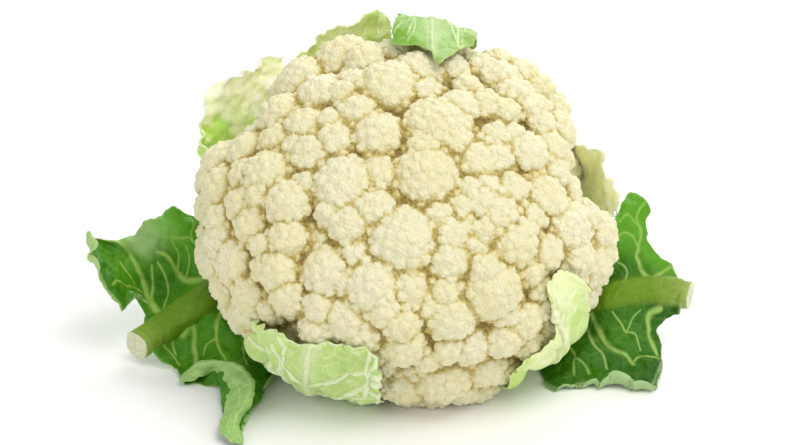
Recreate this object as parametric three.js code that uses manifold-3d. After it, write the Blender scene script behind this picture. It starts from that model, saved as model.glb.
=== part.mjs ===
// Trimmed head of cauliflower with two dark outer leaves and six pale inner
// leaves, lying on the front rim of the curd and on the edge of its cut stalk.
// Millimetres, +Z up. The crown leans toward -Y; +X is to the right of it.
import * as THREE from 'three';
import { mergeVertices } from 'three/addons/utils/BufferGeometryUtils.js';
import Module from 'manifold-3d';

const wasm = await Module();
wasm.setup();

// ---- driving dimensions -------------------------------------------------
const TILT = THREE.MathUtils.degToRad(36);  // crown axis from the vertical
const HEAD_HEIGHT = 64.4;                   // head centre above the lowest floret
const FLOOR = 1.8;                          // slice taken off under the head
const CURD_RADIUS = 90;                     // half of the curd's width
const OVAL = 0.911;                         // depth of the curd over its width
const CROWN_HEIGHT = 58;
const UNDER_DEPTH = 44.9;
const CURD_BOTTOM = -45;
const SQUARENESS = 2.3;
const CORE_INSET = 7.5;                     // flesh below the floret tips
const STALK_TOP = -45.4;                    // along the crown axis
const STALK_END = -63.8;
const STALK_RADIUS = 22.6;
const BLADE = 1.8;                          // leaf blade thickness
const CLEAR = 0.8;                          // gap between leaf and florets
const STUB_LENGTH = 27;
const CURD_DETAIL = 16;

// ---- materials ----------------------------------------------------------
const skin = (color, roughness) =>
  new THREE.MeshStandardMaterial({ color, roughness, metalness: 0 });
const CURD = skin(0xe9e0c2, 0.82);
const STALK = skin(0xd9dcb4, 0.6);
const DARK_LEAF = skin(0x3f7420, 0.5);
const PALE_LEAF = skin(0xc3d68c, 0.52);
const GREEN_TIP = skin(0x9cc25c, 0.5);
const STUB = skin(0xb9cb83, 0.55);

// ---- florets: x, y, z of the centre in the head's own frame, radius ------
const FLORETS = [
  [-7.2, 37.2, 46, 11.4], [-21.1, 40.8, 47.3, 5.1], [-20.1, 23.2, 51.4, 6.7], [-11.6, 10.7, 52.3, 9.1],
  [-28.6, 9.2, 51.5, 7], [-31.3, 19.5, 51.2, 4.6], [-38.7, 4.9, 47.5, 8.3], [-26.1, 65.8, 23.6, 10.4],
  [-16.8, 59.3, 34.1, 7.3], [5.5, 47.9, 39.7, 10.2], [-2.2, 62.1, 31.3, 7.8], [8.4, 35, 47.1, 6.3],
  [-43.9, 57.1, 21.3, 9.6], [-35.1, 36.3, 42.5, 8.4], [-26.1, 34.1, 47.8, 5.9], [-51.4, 30.4, 36, 8.5],
  [-41.5, 19.4, 46.4, 7.1], [-53.3, 15.4, 40.8, 6.7], [-45.4, 9.2, 47.4, 5], [-56.2, -1.8, 41.6, 9.1],
  [-47.8, -17.2, 47.2, 7.8], [-40.8, -11.3, 49.3, 5.3], [-59.3, -10.2, 41.3, 6.2], [-78.8, 19.4, 12.3, 8.6],
  [-67.2, 15.8, 32.4, 6.3], [-75.8, 2, 22.4, 9.3], [-67.5, 1.8, 36.8, 5], [-68, -10.4, 34.7, 5.8],
  [-82.1, 3.5, 7.3, 7.3], [-83.4, 14.2, 11, 6], [-24.3, -12.7, 49.1, 12.3], [-11.5, -8.2, 53, 7.4],
  [-12.7, -23.6, 52.1, 7.8], [-22.5, -28.1, 50.2, 7.7], [-29.4, -23, 51, 5.7], [-31.7, -12.3, 51.9, 5.7],
  [-48, -31, 42.4, 7], [-51.7, -42.9, 36.9, 6.6], [-46.8, -51.7, 31.7, 7], [-75.3, -19.5, 19.7, 8.4],
  [-77, -13, 23.7, 6.3], [-61.9, -21, 35.1, 7.4], [-68.6, -30.8, 21.5, 9.2], [-74.4, -33.7, 6.6, 7.2],
  [-62.1, -43.9, 17.8, 8.7], [-58.9, -32.2, 38.6, 3.7], [-58.1, -40.5, 34.9, 3.7], [-66.2, -47.9, 9.9, 5],
  [-79.5, -25.1, 10.3, 5.5], [-55.1, -52.2, 21.6, 5], [-34.6, -30.6, 39.8, 7.8], [-39.9, -27.3, 41.6, 4.1],
  [-30.7, -36.6, 41.6, 4.9], [-31.4, -45.7, 40.6, 8.6], [-24.4, -50.1, 42.2, 5.3], [-13, -53.1, 41.8, 9.3],
  [-8.5, -61.1, 38.7, 6.5], [-19.6, -40.1, 44.9, 6.9], [-11.8, -42.8, 44.6, 4.9], [-34.7, -57.7, 34.5, 5.7],
  [-35.3, -63.7, 26.4, 6.5], [-22.9, -61.7, 31.6, 8.6], [-17.6, -67.9, 29.4, 6.1], [1.2, -53.5, 40.9, 7.3],
  [-2, -64.9, 34.4, 6.5], [-1.2, -68.8, 23.9, 8.2], [-6.9, -60, 40.2, 4.9], [-1.2, -35.1, 46.7, 12.6],
  [8.7, -8.1, 51, 11.9], [13.9, -26.4, 52.1, 4.9], [13.4, 14.8, 47.7, 13.7], [20.7, 8.5, 53.7, 5.8],
  [8.2, 3.5, 55.7, 5.8], [19.1, -34.1, 50.1, 5.7], [17.9, -41.8, 44.4, 8.1], [16.2, -54, 39.9, 5.7],
  [18.4, -59.3, 31.3, 9.4], [10.2, -58.6, 37.2, 4.9], [34.8, -49.8, 36.1, 10.6], [33, -47, 46, 4.5],
  [45.1, -34.5, 43.1, 7.4], [48.8, -29.4, 45.5, 4.1], [40.8, -38.4, 44.3, 4.1], [30.2, -1, 49.4, 8.2],
  [37.8, -23.1, 46.8, 8.2], [31.6, -18.9, 51.2, 5.7], [26.7, -14.1, 52.7, 4.5], [23.7, -21.4, 52.2, 4.5],
  [34.1, -12.8, 51.1, 4.9], [28.6, -37.4, 45.8, 5.3], [24.9, -30.4, 49.3, 4.5], [32.2, -30.9, 48.4, 4.9],
  [38.5, 1.8, 50.3, 5.4], [38.3, 13.3, 48.6, 5.4], [44.6, 13.3, 46.8, 5.4], [32.4, 10.5, 49.3, 4.2],
  [44.1, -11.5, 47.9, 5.8], [55.7, -10.7, 38.6, 9.5], [51.9, -21.6, 43.1, 4.9], [50.8, 6.5, 45.4, 7.5],
  [60.5, 12.3, 38.7, 6.7], [64.3, 27.3, 30.4, 6.8], [57.4, 25, 39.4, 5.1], [61.9, 2.5, 38.9, 5.4],
  [20.1, 51.7, 39.2, 6], [26.6, 39.3, 46.6, 4.2], [32.3, 56.8, 30, 7.3], [40.8, 51, 31.4, 8.2],
  [33.6, 29.1, 48, 5.5], [23.5, 26.7, 48.9, 7.1], [47.2, 38.9, 38.2, 7.2], [53.4, 32.1, 38, 7.2],
  [57.2, 52.9, 21.5, 6.5], [50.4, 59, 23.1, 6.5], [64, 45.1, 19.4, 6.1], [40.4, 65.1, 24.8, 5.2],
  [42, 27, 46.6, 5], [57.7, -34.2, 36.1, 5.8], [51.8, -42.1, 35.3, 4.9], [65.5, -20, 29.6, 10],
  [69.8, -28.9, 23.3, 7.9], [54.5, -45.7, 27.8, 4.9], [61, -13.6, 39.6, 5.4], [83.6, -8.2, 2.7, 7.3],
  [80.1, -20.3, -2.8, 8.1], [70.6, -15.4, 31.6, 4.6], [85.4, -15.8, -1.4, 4.7], [48, -56.5, 20.9, 7.4],
  [58.9, -52.2, 4.2, 7.1], [40.5, -63.1, 17.6, 7], [51.1, -59.9, 4.8, 5.8], [41.9, -57.1, 27.7, 4.9],
  [56, -50.5, 19.9, 5.4], [62.5, -52.7, -9.4, 4.2], [26, -66, 17.8, 7.8], [32.3, -67.4, -1.9, 8.4],
  [17.7, -70.7, 21, 4.9], [15.9, -71.8, -1.3, 10.8], [0.4, -72.1, -6.7, 9.2], [9.5, -73, 17.1, 4.5],
  [41.5, -63.8, -10.7, 6.8], [24.5, -74, -12.9, 5.5], [-6.3, -74.9, -5.6, 5], [-12.3, -70.9, 20.4, 4.9],
  [-50.4, 38.5, 23.6, 7.5], [-19.9, 70.5, -6.2, 8.7], [-71.8, -34.5, -10.3, 7.2], [-11.4, 68.1, -16.1, 8.7],
  [-48.7, 55.8, -17, 7.1], [-51.2, 57, 11, 7.1], [79.8, -3.6, -12.9, 9.1], [54.3, -55.1, -7.1, 7.4],
  [-78.6, 23.8, -2.8, 8.2], [-62.1, 27.4, 22.6, 6.6], [-39.8, 63, -6.2, 10.6], [-38.9, -63, -8.9, 8.5],
  [25.8, 66.9, -11.7, 9.2], [18.4, 66.8, 19.7, 10.8], [-80.1, -3.8, -10.2, 8.9], [-79.8, -16.2, -1.3, 9.6],
  [-30.9, -61.1, 9.6, 7.2], [10.9, 71.9, -1.6, 10.9], [64.9, -41.7, -7, 10], [-8.9, -67.5, 7.8, 7.3],
  [-26.6, -71.9, -1.3, 7.1], [68.3, -28.7, 3.6, 8.7], [-41.3, -52.8, 16.7, 6.8], [74.8, -28.9, -11.9, 7.7],
  [65.3, 44.7, -5.8, 7.2], [-14.8, 69.2, 12.1, 10.9], [-52.5, -50.5, -12.6, 9.9], [-75.3, 16.1, -14.3, 10.4],
  [-46.4, -54.5, 6, 5.8], [38.5, 61, 11.9, 10.5], [60.1, -36.9, 17.7, 7], [5.5, 72.5, 14.6, 7.9],
  [-18.3, -66, -10.1, 9], [41.2, 61, -9.9, 9.8], [50, 41.1, 25.1, 5.8], [-66.5, -42.9, -4.4, 8.1],
  [78.2, -15.7, -15, 7.3], [-63.8, 38.9, -10.1, 10.8], [2.1, 26.2, 43.4, 5.7], [53.6, 46.4, -15.1, 10.4],
  [-24.8, 44, 32.5, 8.4], [51.9, 56.9, 11.3, 8], [68.7, 34.2, -14.7, 7.7], [-8.5, 48.6, 34.6, 6.3],
  [-72, -20.3, -14, 10.9], [12.4, -70.5, -17.7, 8.3], [-82.3, 9, -3.5, 7.4], [-58.3, 51.4, -12.9, 7.6],
  [33.1, 36.2, 36, 6.2], [-57.6, -55.8, -0.7, 7.2], [-70.3, 15.3, 20, 5.6], [11, 69.8, -16.2, 9],
  [56.4, 55.1, -2.7, 8.3], [-34.3, 69.5, 4.9, 7.2], [-61.8, -41.5, -16.8, 8], [4.2, -70.1, 6.4, 6],
  [66.7, -0.1, 26.6, 6.6], [70.1, -15.3, 14.7, 8], [-4.4, 74.3, 3.9, 7.3], [-29.1, 62.6, -16.3, 9.1],
  [62.2, 49.7, 8.7, 7.4], [-39.4, 44.8, 28.1, 7.3], [25.9, 69.6, 6.1, 10.4], [-57, 20.8, 31.9, 5.7],
  [56, -46.9, -17, 7.7], [-4.6, 0.4, 45, 5.9], [29.8, -67, -20.4, 8.2], [17.5, 40.8, 39, 5.8],
  [41.5, -59.9, -0.4, 5.8], [3, -70.2, -18.4, 7.9], [9.4, 63.8, 29.8, 7], [-20.5, -63.5, 17.1, 5.8],
  [-0.9, 74, -9.5, 7.6], [-76.5, -11.7, 10.8, 6], [-1.7, -19.5, 43.6, 6.1], [10, -63, 22.7, 5.9],
  [18.8, 56.8, 28.2, 6.2], [-4, 68.8, 21.5, 8.2], [-74, 29.9, -11.5, 7], [-53.6, 58.2, -5.7, 7],
  [58.1, 34.4, 22.9, 5.8], [-20.8, 1.7, 43.5, 5.9], [64.8, 16.1, 27.3, 5.7], [-9.8, 21.8, 43, 5.7],
  [48.3, 17.5, 35.1, 6.2], [64, -40, 7.2, 6.2], [77, -5.8, 13, 5.8],
];

// ---- hollows of the rim under the inner leaves: direction, depth, width ----
const HOLLOWS = [
  [-0.797, 0.574, 0.189, 0.15, 0.27],
  [0.967, 0.225, 0.122, 0.13, 0.27],
];

// ---- leaf control nets: rows from the stalk outward, columns across ------
const NETS = {
  topLeft: [
    [[-22.2, 7.5, -49.5], [-21.6, 9.1, -49.5], [-20.8, 10.6, -49.5], [-20, 12.1, -49.5], [-19, 13.5, -49.5], [-17.9, 14.9, -49.5], [-16.7, 16.1, -49.5], [-15.4, 17.3, -49.5]],
    [[-30.5, 9.9, -49.3], [-30.1, 12.4, -49.3], [-29.5, 14.9, -49.3], [-28.4, 17.3, -49.3], [-27, 19.4, -49.3], [-25.2, 21.2, -49.3], [-23.3, 22.9, -49.3], [-21.2, 24.2, -49.3]],
    [[-40.4, 12.3, -48.1], [-40.5, 16.1, -47.9], [-40.3, 20.1, -47.7], [-38.8, 23.9, -47.6], [-36.7, 27.1, -47.6], [-33.8, 29.5, -47.7], [-30.8, 31.7, -47.8], [-27.5, 33.1, -48]],
    [[-52.3, 14.4, -45.4], [-52.7, 19.9, -44.7], [-52.5, 25.8, -43.9], [-50.5, 31.7, -43.5], [-47.3, 36.3, -43.5], [-43.1, 39.5, -43.9], [-38.7, 42.4, -44.2], [-34.2, 44.1, -44.9]],
    [[-64, 16, -39.9], [-64.7, 23.2, -38.4], [-64.5, 31.2, -36.7], [-61.7, 39.4, -36], [-57.4, 45.7, -36], [-51.7, 49.8, -36.7], [-45.8, 53.3, -37.5], [-39.9, 55.2, -38.9]],
    [[-74.3, 17.1, -32.4], [-74.6, 25.8, -30], [-74.1, 35.4, -27.3], [-70.6, 45.7, -26.1], [-65.3, 53.4, -26.1], [-58.4, 58.3, -27.3], [-51.3, 62.6, -28.5], [-44.5, 65, -30.8]],
    [[-81.8, 18.2, -23], [-81.9, 27.7, -19.7], [-81.1, 38.5, -16.2], [-77.7, 50.5, -14.5], [-71.9, 59.4, -14.5], [-64.2, 64.9, -16.2], [-56.2, 69.8, -17.9], [-48.8, 72.6, -21]],
    [[-86.9, 19.2, -12.7], [-86.6, 29.3, -8.5], [-85.9, 40.7, -4.2], [-82.8, 53.8, -2.3], [-77.2, 63.7, -2.3], [-68.9, 69.7, -4.2], [-60.5, 75.2, -6.2], [-52.9, 78.5, -10.1]],
    [[-89.8, 19.8, -2], [-89, 30.1, 2], [-88.3, 41.9, 6], [-86.1, 55.9, 8], [-80.7, 66.7, 8], [-72.2, 73.1, 6], [-63.6, 79, 4], [-55.9, 83, 0]],
  ],
  top: [
    [[-12.8, 19.3, -49.5], [-11.6, 20, -49.5], [-10.4, 20.6, -49.5], [-9.1, 21.2, -49.5], [-7.8, 21.7, -49.5], [-6.4, 22.1, -49.5], [-5.1, 22.4, -49.5], [-3.7, 22.7, -49.5]],
    [[-17.5, 26.4, -49.3], [-16.1, 27.8, -49.3], [-14.5, 29.1, -49.3], [-12.7, 30.1, -49.3], [-10.8, 30.7, -49.3], [-8.9, 31.4, -49.3], [-6.9, 31.6, -49.3], [-4.9, 31.8, -49.3]],
    [[-22.7, 35.1, -48.2], [-21.1, 37.5, -47.9], [-19.2, 39.7, -47.7], [-16.7, 41.3, -47.6], [-13.9, 42.1, -47.6], [-11.2, 43.1, -47.6], [-8.3, 43.2, -47.7], [-5.9, 43, -47.8]],
    [[-28.6, 45.7, -45.6], [-26.4, 49, -44.6], [-23.9, 52, -43.9], [-20.4, 54.1, -43.5], [-16.5, 55.1, -43.5], [-12.9, 56.4, -43.5], [-9, 56.5, -43.9], [-6.3, 55.8, -44.2]],
    [[-34.1, 56.3, -40.3], [-31.2, 60.2, -38.3], [-28.1, 64.1, -36.7], [-23.4, 66.5, -36], [-18.2, 67.6, -36], [-13.7, 69.4, -36], [-8.8, 69.5, -36.7], [-6.1, 68.4, -37.5]],
    [[-38.9, 65.7, -33], [-35, 69.7, -29.8], [-31.2, 73.9, -27.3], [-25.4, 76.5, -26.1], [-19.2, 77.6, -26.1], [-13.8, 80, -26.1], [-8.1, 80.2, -27.3], [-5.5, 78.8, -28.5]],
    [[-43.2, 73.2, -23.9], [-38.4, 77.1, -19.5], [-34.1, 82, -16.2], [-27.5, 84.6, -14.5], [-20.4, 85.6, -14.5], [-14.6, 89, -14.6], [-8.2, 89.4, -16.2], [-5.5, 87.6, -17.9]],
    [[-46.9, 79.6, -14], [-41.3, 82.9, -8.2], [-36.6, 88.1, -4.2], [-29.5, 90.7, -2.3], [-21.8, 91.5, -2.3], [-15.7, 96, -2.3], [-8.9, 96.8, -4.2], [-5.9, 94.7, -6.2]],
    [[-49.8, 84.4, -4], [-43.4, 87, 2], [-38.4, 92.4, 6], [-30.8, 94.8, 8], [-22.8, 95.4, 8], [-16.6, 101.2, 8], [-9.4, 102.5, 6], [-6.3, 100, 4]],
  ],
  right: [
    [[14.1, 18.3, -49.5], [15.8, 17, -49.5], [17.4, 15.5, -49.5], [18.8, 13.8, -49.5], [20, 12.1, -49.5], [21.1, 10.2, -49.5], [21.9, 8.2, -49.5]],
    [[20.1, 24.9, -49.3], [22.6, 23, -49.3], [25, 21, -49.3], [27.2, 19, -49.3], [28.8, 16.3, -49.3], [30, 13.5, -49.3], [30.7, 10.7, -49.3]],
    [[28.2, 31.8, -47.9], [31.8, 28.8, -47.8], [35.3, 26.2, -47.7], [38.4, 23.7, -47.5], [40.3, 19.8, -47.6], [41.5, 15.7, -47.7], [41.7, 11.9, -47.9]],
    [[38.5, 38.5, -44.7], [43.4, 33.9, -44.3], [48, 30, -43.9], [51.8, 27.1, -43.4], [54, 21.7, -43.6], [55.1, 16.2, -44.1], [54.8, 11.5, -44.7]],
    [[49.4, 43.8, -38.5], [55.2, 37, -37.7], [60.7, 31.9, -36.8], [65.1, 28.6, -35.8], [67.4, 21.7, -36.3], [68.3, 14.8, -37.2], [67.5, 9.4, -38.5]],
    [[58.6, 47.6, -30.1], [64.7, 38.6, -28.9], [70.5, 32.1, -27.4], [75.2, 28.6, -25.9], [77.7, 20.6, -26.6], [78.6, 12.6, -28], [77.9, 6.8, -30.1]],
    [[64.7, 50.6, -19.9], [70.4, 40.1, -18.3], [76.3, 32.8, -16.3], [81.5, 29.3, -14.3], [84.2, 20.5, -15.3], [85.4, 11.9, -17.2], [85, 5.9, -19.9]],
    [[67.9, 52.9, -8.6], [72.8, 41.3, -6.5], [78.5, 33.7, -4.3], [84.3, 30.2, -2.1], [87.2, 21.2, -3.2], [89, 12.4, -5.3], [89.4, 6.2, -8.6]],
    [[69.2, 53.9, 2], [72.7, 41.2, 4], [78, 33.5, 6], [84.3, 30.2, 8], [87.5, 21.3, 7], [89.9, 12.5, 5], [91.2, 6.3, 2]],
  ],
  lowerRight: [
    [[19.9, -12.2, -49.5], [19.3, -13.1, -49.5], [18.6, -14, -49.5], [17.9, -14.8, -49.5], [17.2, -15.7, -49.5], [16.4, -16.4, -49.5], [15.6, -17.2, -49.5], [14.7, -17.9, -49.5], [13.8, -18.6, -49.5]],
    [[30.5, -18.3, -48.8], [31, -20.6, -48.6], [30.3, -22.5, -48.5], [28.6, -23.4, -48.6], [26.3, -23.6, -48.8], [24.3, -23.9, -49], [22.5, -24.5, -49.1], [20.9, -25.4, -49.1], [19.4, -26.2, -49.1]],
    [[44.5, -25.8, -45], [46.5, -29.9, -43.5], [45.4, -33.4, -43], [42.3, -34.5, -43.7], [38.2, -33.7, -45], [34.7, -33.1, -46], [31.3, -33.4, -46.5], [28.5, -34.5, -46.8], [25.9, -35.6, -46.9]],
    [[57.7, -32.2, -37.5], [60.1, -37.3, -33.8], [57.9, -42.5, -32.5], [53.9, -44, -34.2], [49.3, -42.7, -37.5], [45.3, -41.6, -39.9], [40.7, -42.5, -41.3], [36.5, -44.2, -42], [32.5, -45.9, -42.4]],
    [[68.9, -37.1, -26.3], [70.9, -42.7, -19.6], [67.2, -49.5, -17.4], [62.9, -51.4, -20.3], [58.5, -49.8, -26.3], [54.5, -48.4, -30.7], [48.8, -49.8, -33.4], [43.1, -52.5, -34.6], [37.7, -54.9, -35.4]],
    [[76.9, -40.4, -12.5], [77.1, -45.6, -3.8], [71.7, -53.3, -1.3], [67.9, -55.9, -4.8], [65.1, -54.8, -12.6], [62, -53.5, -18.7], [55.7, -55.8, -22.7], [48.6, -59.3, -24.7], [42, -62.4, -26]],
    [[80.6, -42.1, 1.1], [77.7, -45.7, 9.9], [71.3, -53.2, 12.5], [68.4, -56.6, 8.9], [68.2, -57.2, 1.1], [66.5, -56.8, -5.8], [60.4, -60, -10.9], [52.8, -64.2, -13.3], [45.5, -67.9, -15]],
    [[80, -41.8, 13], [74.8, -44, 22.4], [67.9, -50.8, 25.3], [66, -54.6, 21.3], [67.6, -56.7, 12.9], [67.7, -57.8, 5.9], [62.7, -62.2, 0.8], [55.2, -67, -1.7], [47.8, -71.1, -3.6]],
    [[76.9, -40.2, 24.2], [69.7, -41.3, 34.1], [62.4, -47, 36.8], [61.6, -51.4, 32.9], [64.9, -54.5, 24], [66.5, -56.8, 16.5], [62.5, -62, 11], [55.4, -67.2, 8.4], [48.3, -71.8, 6.5]],
  ],
  lowerLeft: [
    [[-18, -14.8, -49.5], [-17.2, -15.7, -49.5], [-16.3, -16.6, -49.5], [-15.3, -17.4, -49.5], [-14.3, -18.2, -49.5], [-13.3, -18.9, -49.5], [-12.2, -19.6, -49.5], [-11.1, -20.2, -49.5], [-10, -20.8, -49.5], [-8.8, -21.3, -49.5]],
    [[-27.1, -21.9, -48.9], [-26.3, -23.9, -48.8], [-25.4, -26.1, -48.7], [-23.4, -27, -48.8], [-21.8, -28, -48.8], [-20.4, -29.5, -48.7], [-18.7, -30.9, -48.7], [-17, -32.3, -48.6], [-14.6, -31.9, -48.8], [-12.2, -30.8, -49]],
    [[-38.8, -30.8, -45.5], [-37.9, -34.8, -44.8], [-36.6, -38.9, -44], [-33.1, -39.9, -44.5], [-30.5, -41.2, -44.7], [-28.3, -43.8, -44.3], [-25.4, -46.1, -44.1], [-22.4, -48.5, -43.6], [-18.5, -46.9, -44.8], [-14.8, -43.1, -46.4]],
    [[-50.2, -39.1, -38.8], [-48.1, -44.9, -37.1], [-45.4, -50.7, -34.9], [-40.6, -52.2, -36.3], [-37.1, -53.6, -36.7], [-33.6, -56.9, -35.7], [-28.7, -60, -35.1], [-23.7, -63.1, -34], [-18.9, -61, -36.9], [-15.5, -55.9, -40.9]],
    [[-59.8, -45.7, -28.6], [-56, -53.3, -25.4], [-51.4, -60.7, -21.5], [-45.4, -62.7, -24], [-41.3, -64.2, -24.8], [-36.2, -67.9, -23], [-29, -71.5, -21.8], [-21.7, -74.8, -20], [-16.6, -72.6, -25.1], [-14.1, -66.8, -32.7]],
    [[-67, -50.6, -15.8], [-61.4, -59.3, -11.3], [-54.5, -67.4, -6.1], [-48, -70.2, -9.4], [-43.4, -71.6, -10.5], [-36.9, -75.1, -8.2], [-27.8, -78.8, -6.7], [-18.5, -81.6, -4.3], [-13.4, -80.4, -11], [-12.2, -75.5, -21.6]],
    [[-71, -53.4, -2.3], [-63.7, -62, 2.4], [-55.1, -69.4, 7.8], [-49.1, -73.4, 4.5], [-44.2, -74.9, 3.2], [-36.7, -77.5, 5.5], [-26.8, -80.6, 6.9], [-16.8, -82.5, 9.3], [-12.1, -83.8, 2.7], [-11.7, -81, -9.4]],
    [[-71.3, -53.6, 9.3], [-63.1, -61.4, 14.4], [-53.8, -67.8, 20.4], [-48.5, -72.6, 16.8], [-43.6, -73.9, 15.3], [-35.9, -75.6, 17.7], [-26, -78.2, 19.2], [-16.2, -79.5, 21.7], [-12, -82.7, 14.6], [-12.1, -83.5, 2.3]],
    [[-69.3, -52.1, 20.2], [-60.5, -59, 25.7], [-51.1, -64.5, 32.2], [-46.6, -69.8, 28.4], [-41.8, -70.9, 26.7], [-33.9, -71.8, 29.1], [-24.4, -74, 30.7], [-15, -74.5, 33.2], [-11.4, -79.2, 25.9], [-11.9, -82.8, 12.6]],
  ],
  topFolded: [
    [[2.5, 22.8, -49.5], [4.1, 22.6, -49.5], [5.7, 22.3, -49.5], [7.3, 21.8, -49.5], [8.8, 21.3, -49.5], [10.3, 20.6, -49.5]],
    [[3.2, 33.6, -49.2], [5.6, 33.5, -49.2], [8, 33.2, -49.1], [10.4, 32.5, -49.1], [12.7, 31.6, -49.2], [14.8, 30.3, -49.2]],
    [[3, 47.5, -46.9], [6.1, 47.6, -46.7], [9.4, 47.4, -46.6], [13.1, 46.6, -46.6], [16.6, 45.1, -46.7], [19.6, 43, -47]],
    [[1.5, 62.3, -41.1], [5, 62.5, -40.6], [9.3, 62.5, -40.3], [14.3, 61.7, -40.3], [19.4, 59.6, -40.6], [23.6, 56.8, -41.4]],
    [[-0.9, 75.6, -31.7], [2.8, 75.5, -30.6], [7.8, 75.5, -30.1], [14.2, 74.8, -30.1], [20.8, 72.3, -30.6], [26.3, 69.3, -32.2]],
    [[-2.6, 86.1, -19.5], [1.2, 85.4, -18], [6.7, 85.3, -17.2], [14.2, 84.7, -17.2], [21.9, 81.6, -17.9], [28.4, 78.3, -20.3]],
    [[-3, 94.5, -5.9], [1.3, 92.8, -3.9], [7.2, 92.5, -3], [15.3, 91.9, -3], [23.5, 88, -3.9], [30.7, 84.9, -6.9]],
    [[-3.1, 100.3, 6], [1.3, 97.5, 8], [7.6, 96.8, 9], [16.1, 96.3, 9], [24.5, 91.7, 8], [32.1, 88.8, 5]],
    [[-4.5, 78.4, 36], [0.8, 76.6, 37.3], [7.9, 75.3, 38.6], [15.3, 69.4, 40.7], [23.2, 72.1, 37.3], [30.5, 74.7, 32]],
    [[-5.5, 60.5, 47.9], [0.4, 59.5, 48.6], [8.1, 57.6, 50], [14.8, 47.3, 53.9], [22.1, 56, 48.6], [29.2, 63.1, 41.3]],
  ],
  outerLeft: [
    [[-26, 2.6, -56.8], [-25.8, 1.2, -57], [-25.5, -0.2, -57.2], [-25.2, -1.6, -57.5], [-25, -3, -57.7], [-24.8, -4.4, -57.9], [-24.5, -5.8, -58.1], [-24.2, -7.2, -58.3], [-24, -8.6, -58.6], [-23.9, -8.9, -58.6], [-23.9, -9.3, -58.7]],
    [[-44, 6.6, -50.4], [-43, 3.7, -51.1], [-42, 0.7, -51.7], [-41, -2.2, -52.4], [-40, -5.1, -53], [-39.2, -8, -53.5], [-38.5, -10.9, -54.1], [-37.8, -13.7, -54.6], [-37, -16.6, -55.2], [-36.8, -17.4, -55.3], [-36.6, -18, -55.5]],
    [[-65, 10.8, -43], [-62.8, 5.6, -44.1], [-60.5, 0.4, -45.3], [-58.2, -4.7, -46.5], [-56, -9.9, -47.7], [-55, -15.4, -48.5], [-54, -20.9, -49.2], [-53, -26.5, -50], [-52, -32, -50.8], [-58.6, -69.4, -25.2], [-60.7, -77.2, -20.3]],
    [[-96.4, 17.9, -27.1], [-92.1, 7.4, -28.2], [-88, -1.9, -31.2], [-83.7, -12.2, -32.4], [-80.6, -16.5, -33.6], [-72.3, -29.8, -34.5], [-65, -41.3, -34.8], [-60, -55.7, -30.5], [-60.8, -73.2, -20.8], [-62.8, -83.4, -14.6], [-65.9, -101, -3.3]],
    [[-103, 22.7, -29.3], [-98, 11, -28.3], [-93.4, 1.6, -31.3], [-89.2, -9.3, -33.3], [-86.2, -22.4, -28.7], [-78, -33.1, -29.6], [-71.6, -44.5, -30], [-67.7, -61.1, -22.9], [-67, -78.8, -12.4], [-68.8, -87.2, -11], [-68.2, -102.9, -1.8]],
    [[-113.3, 14.6, -28.4], [-107.3, 7.7, -29.6], [-101.2, 0.7, -34.4], [-95.2, -9.5, -36.9], [-90.3, -26, -27.4], [-83.1, -35.2, -29.3], [-77.7, -43.8, -30.5], [-74.4, -55, -24.8], [-74.6, -72.1, -16.1], [-75.4, -83.6, -14.2], [-74.4, -97.1, -6.1]],
    [[-123.1, 6.9, -29], [-117.2, 1.4, -29.9], [-109.7, -5, -33.9], [-102.2, -13.1, -38.6], [-94.7, -28.2, -28.9], [-88.6, -34.9, -32], [-84.5, -41.4, -33.4], [-81.5, -49.7, -31.1], [-81.6, -60.8, -25.5], [-79.6, -65.7, -25], [-77.3, -69.7, -24.5]],
    [[-131.7, 3.2, -23.8], [-125.6, 1.4, -29.9], [-117.7, -6.4, -34.2], [-109.4, -14.5, -40.6], [-99.6, -30.9, -31.2], [-94.7, -37.3, -33.9], [-91.2, -42.4, -36.4], [-87.9, -48.5, -35.7], [-87.2, -58.9, -31.9], [-87.1, -61.7, -30.8], [-86.9, -64, -30]],
    [[-138.8, 0.1, -17.8], [-132.8, -2.2, -24.8], [-124.3, -8.9, -31.1], [-115.7, -17.9, -38.8], [-105.2, -34.9, -32], [-100.9, -39.8, -35.9], [-97.3, -44.3, -37.5], [-93.6, -49.7, -37.3], [-91.3, -58.4, -34], [-90.6, -60.8, -33], [-90.1, -62.7, -32.3]],
    [[-132.9, -14.2, -14.9], [-127.7, -14.8, -24.4], [-121.2, -18, -30.7], [-115.3, -23.9, -37.5], [-109.5, -37.8, -33], [-105.4, -43.3, -34.5], [-102, -47.1, -36.7], [-97.9, -51.7, -37.1], [-94.3, -59.1, -33.5], [-93.2, -61.2, -32.4], [-92.4, -62.8, -31.6]],
    [[-123.3, -31.2, -23.5], [-120.2, -25, -29.3], [-117, -18.7, -33.3], [-113.8, -21.7, -39.1], [-114.2, -40.7, -34], [-108.8, -45.9, -35.1], [-104.8, -49.8, -36], [-100.7, -54.2, -35.9], [-96.7, -60.5, -32.4], [-95.6, -62.3, -31.4], [-94.7, -63.7, -30.7]],
  ],
  outerRight: [
    [[26, 0.3, -55.7], [25.8, -1.4, -56], [25.5, -3.2, -56.3], [25.2, -4.9, -56.6], [25, -6.7, -56.8], [24.8, -8.3, -56.9], [24.5, -9.9, -57], [24.2, -11.5, -57.1], [24, -13.1, -57.1]],
    [[33, 1.1, -52.9], [33, -1, -53.3], [33, -3.2, -53.7], [33, -5.4, -54.2], [33, -7.5, -54.6], [33.8, -10.7, -55.1], [34.5, -13.8, -55.6], [35.2, -17, -56.1], [36, -20.1, -56.6]],
    [[46, 2.3, -47.9], [45, -0.4, -49], [43, -3.1, -50.2], [41, -5.8, -51.3], [40, -8.8, -52.2], [46, -22.5, -53.1], [57, -35.7, -47.5], [59, -43.8, -43.3], [57.2, -49.4, -40]],
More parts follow.
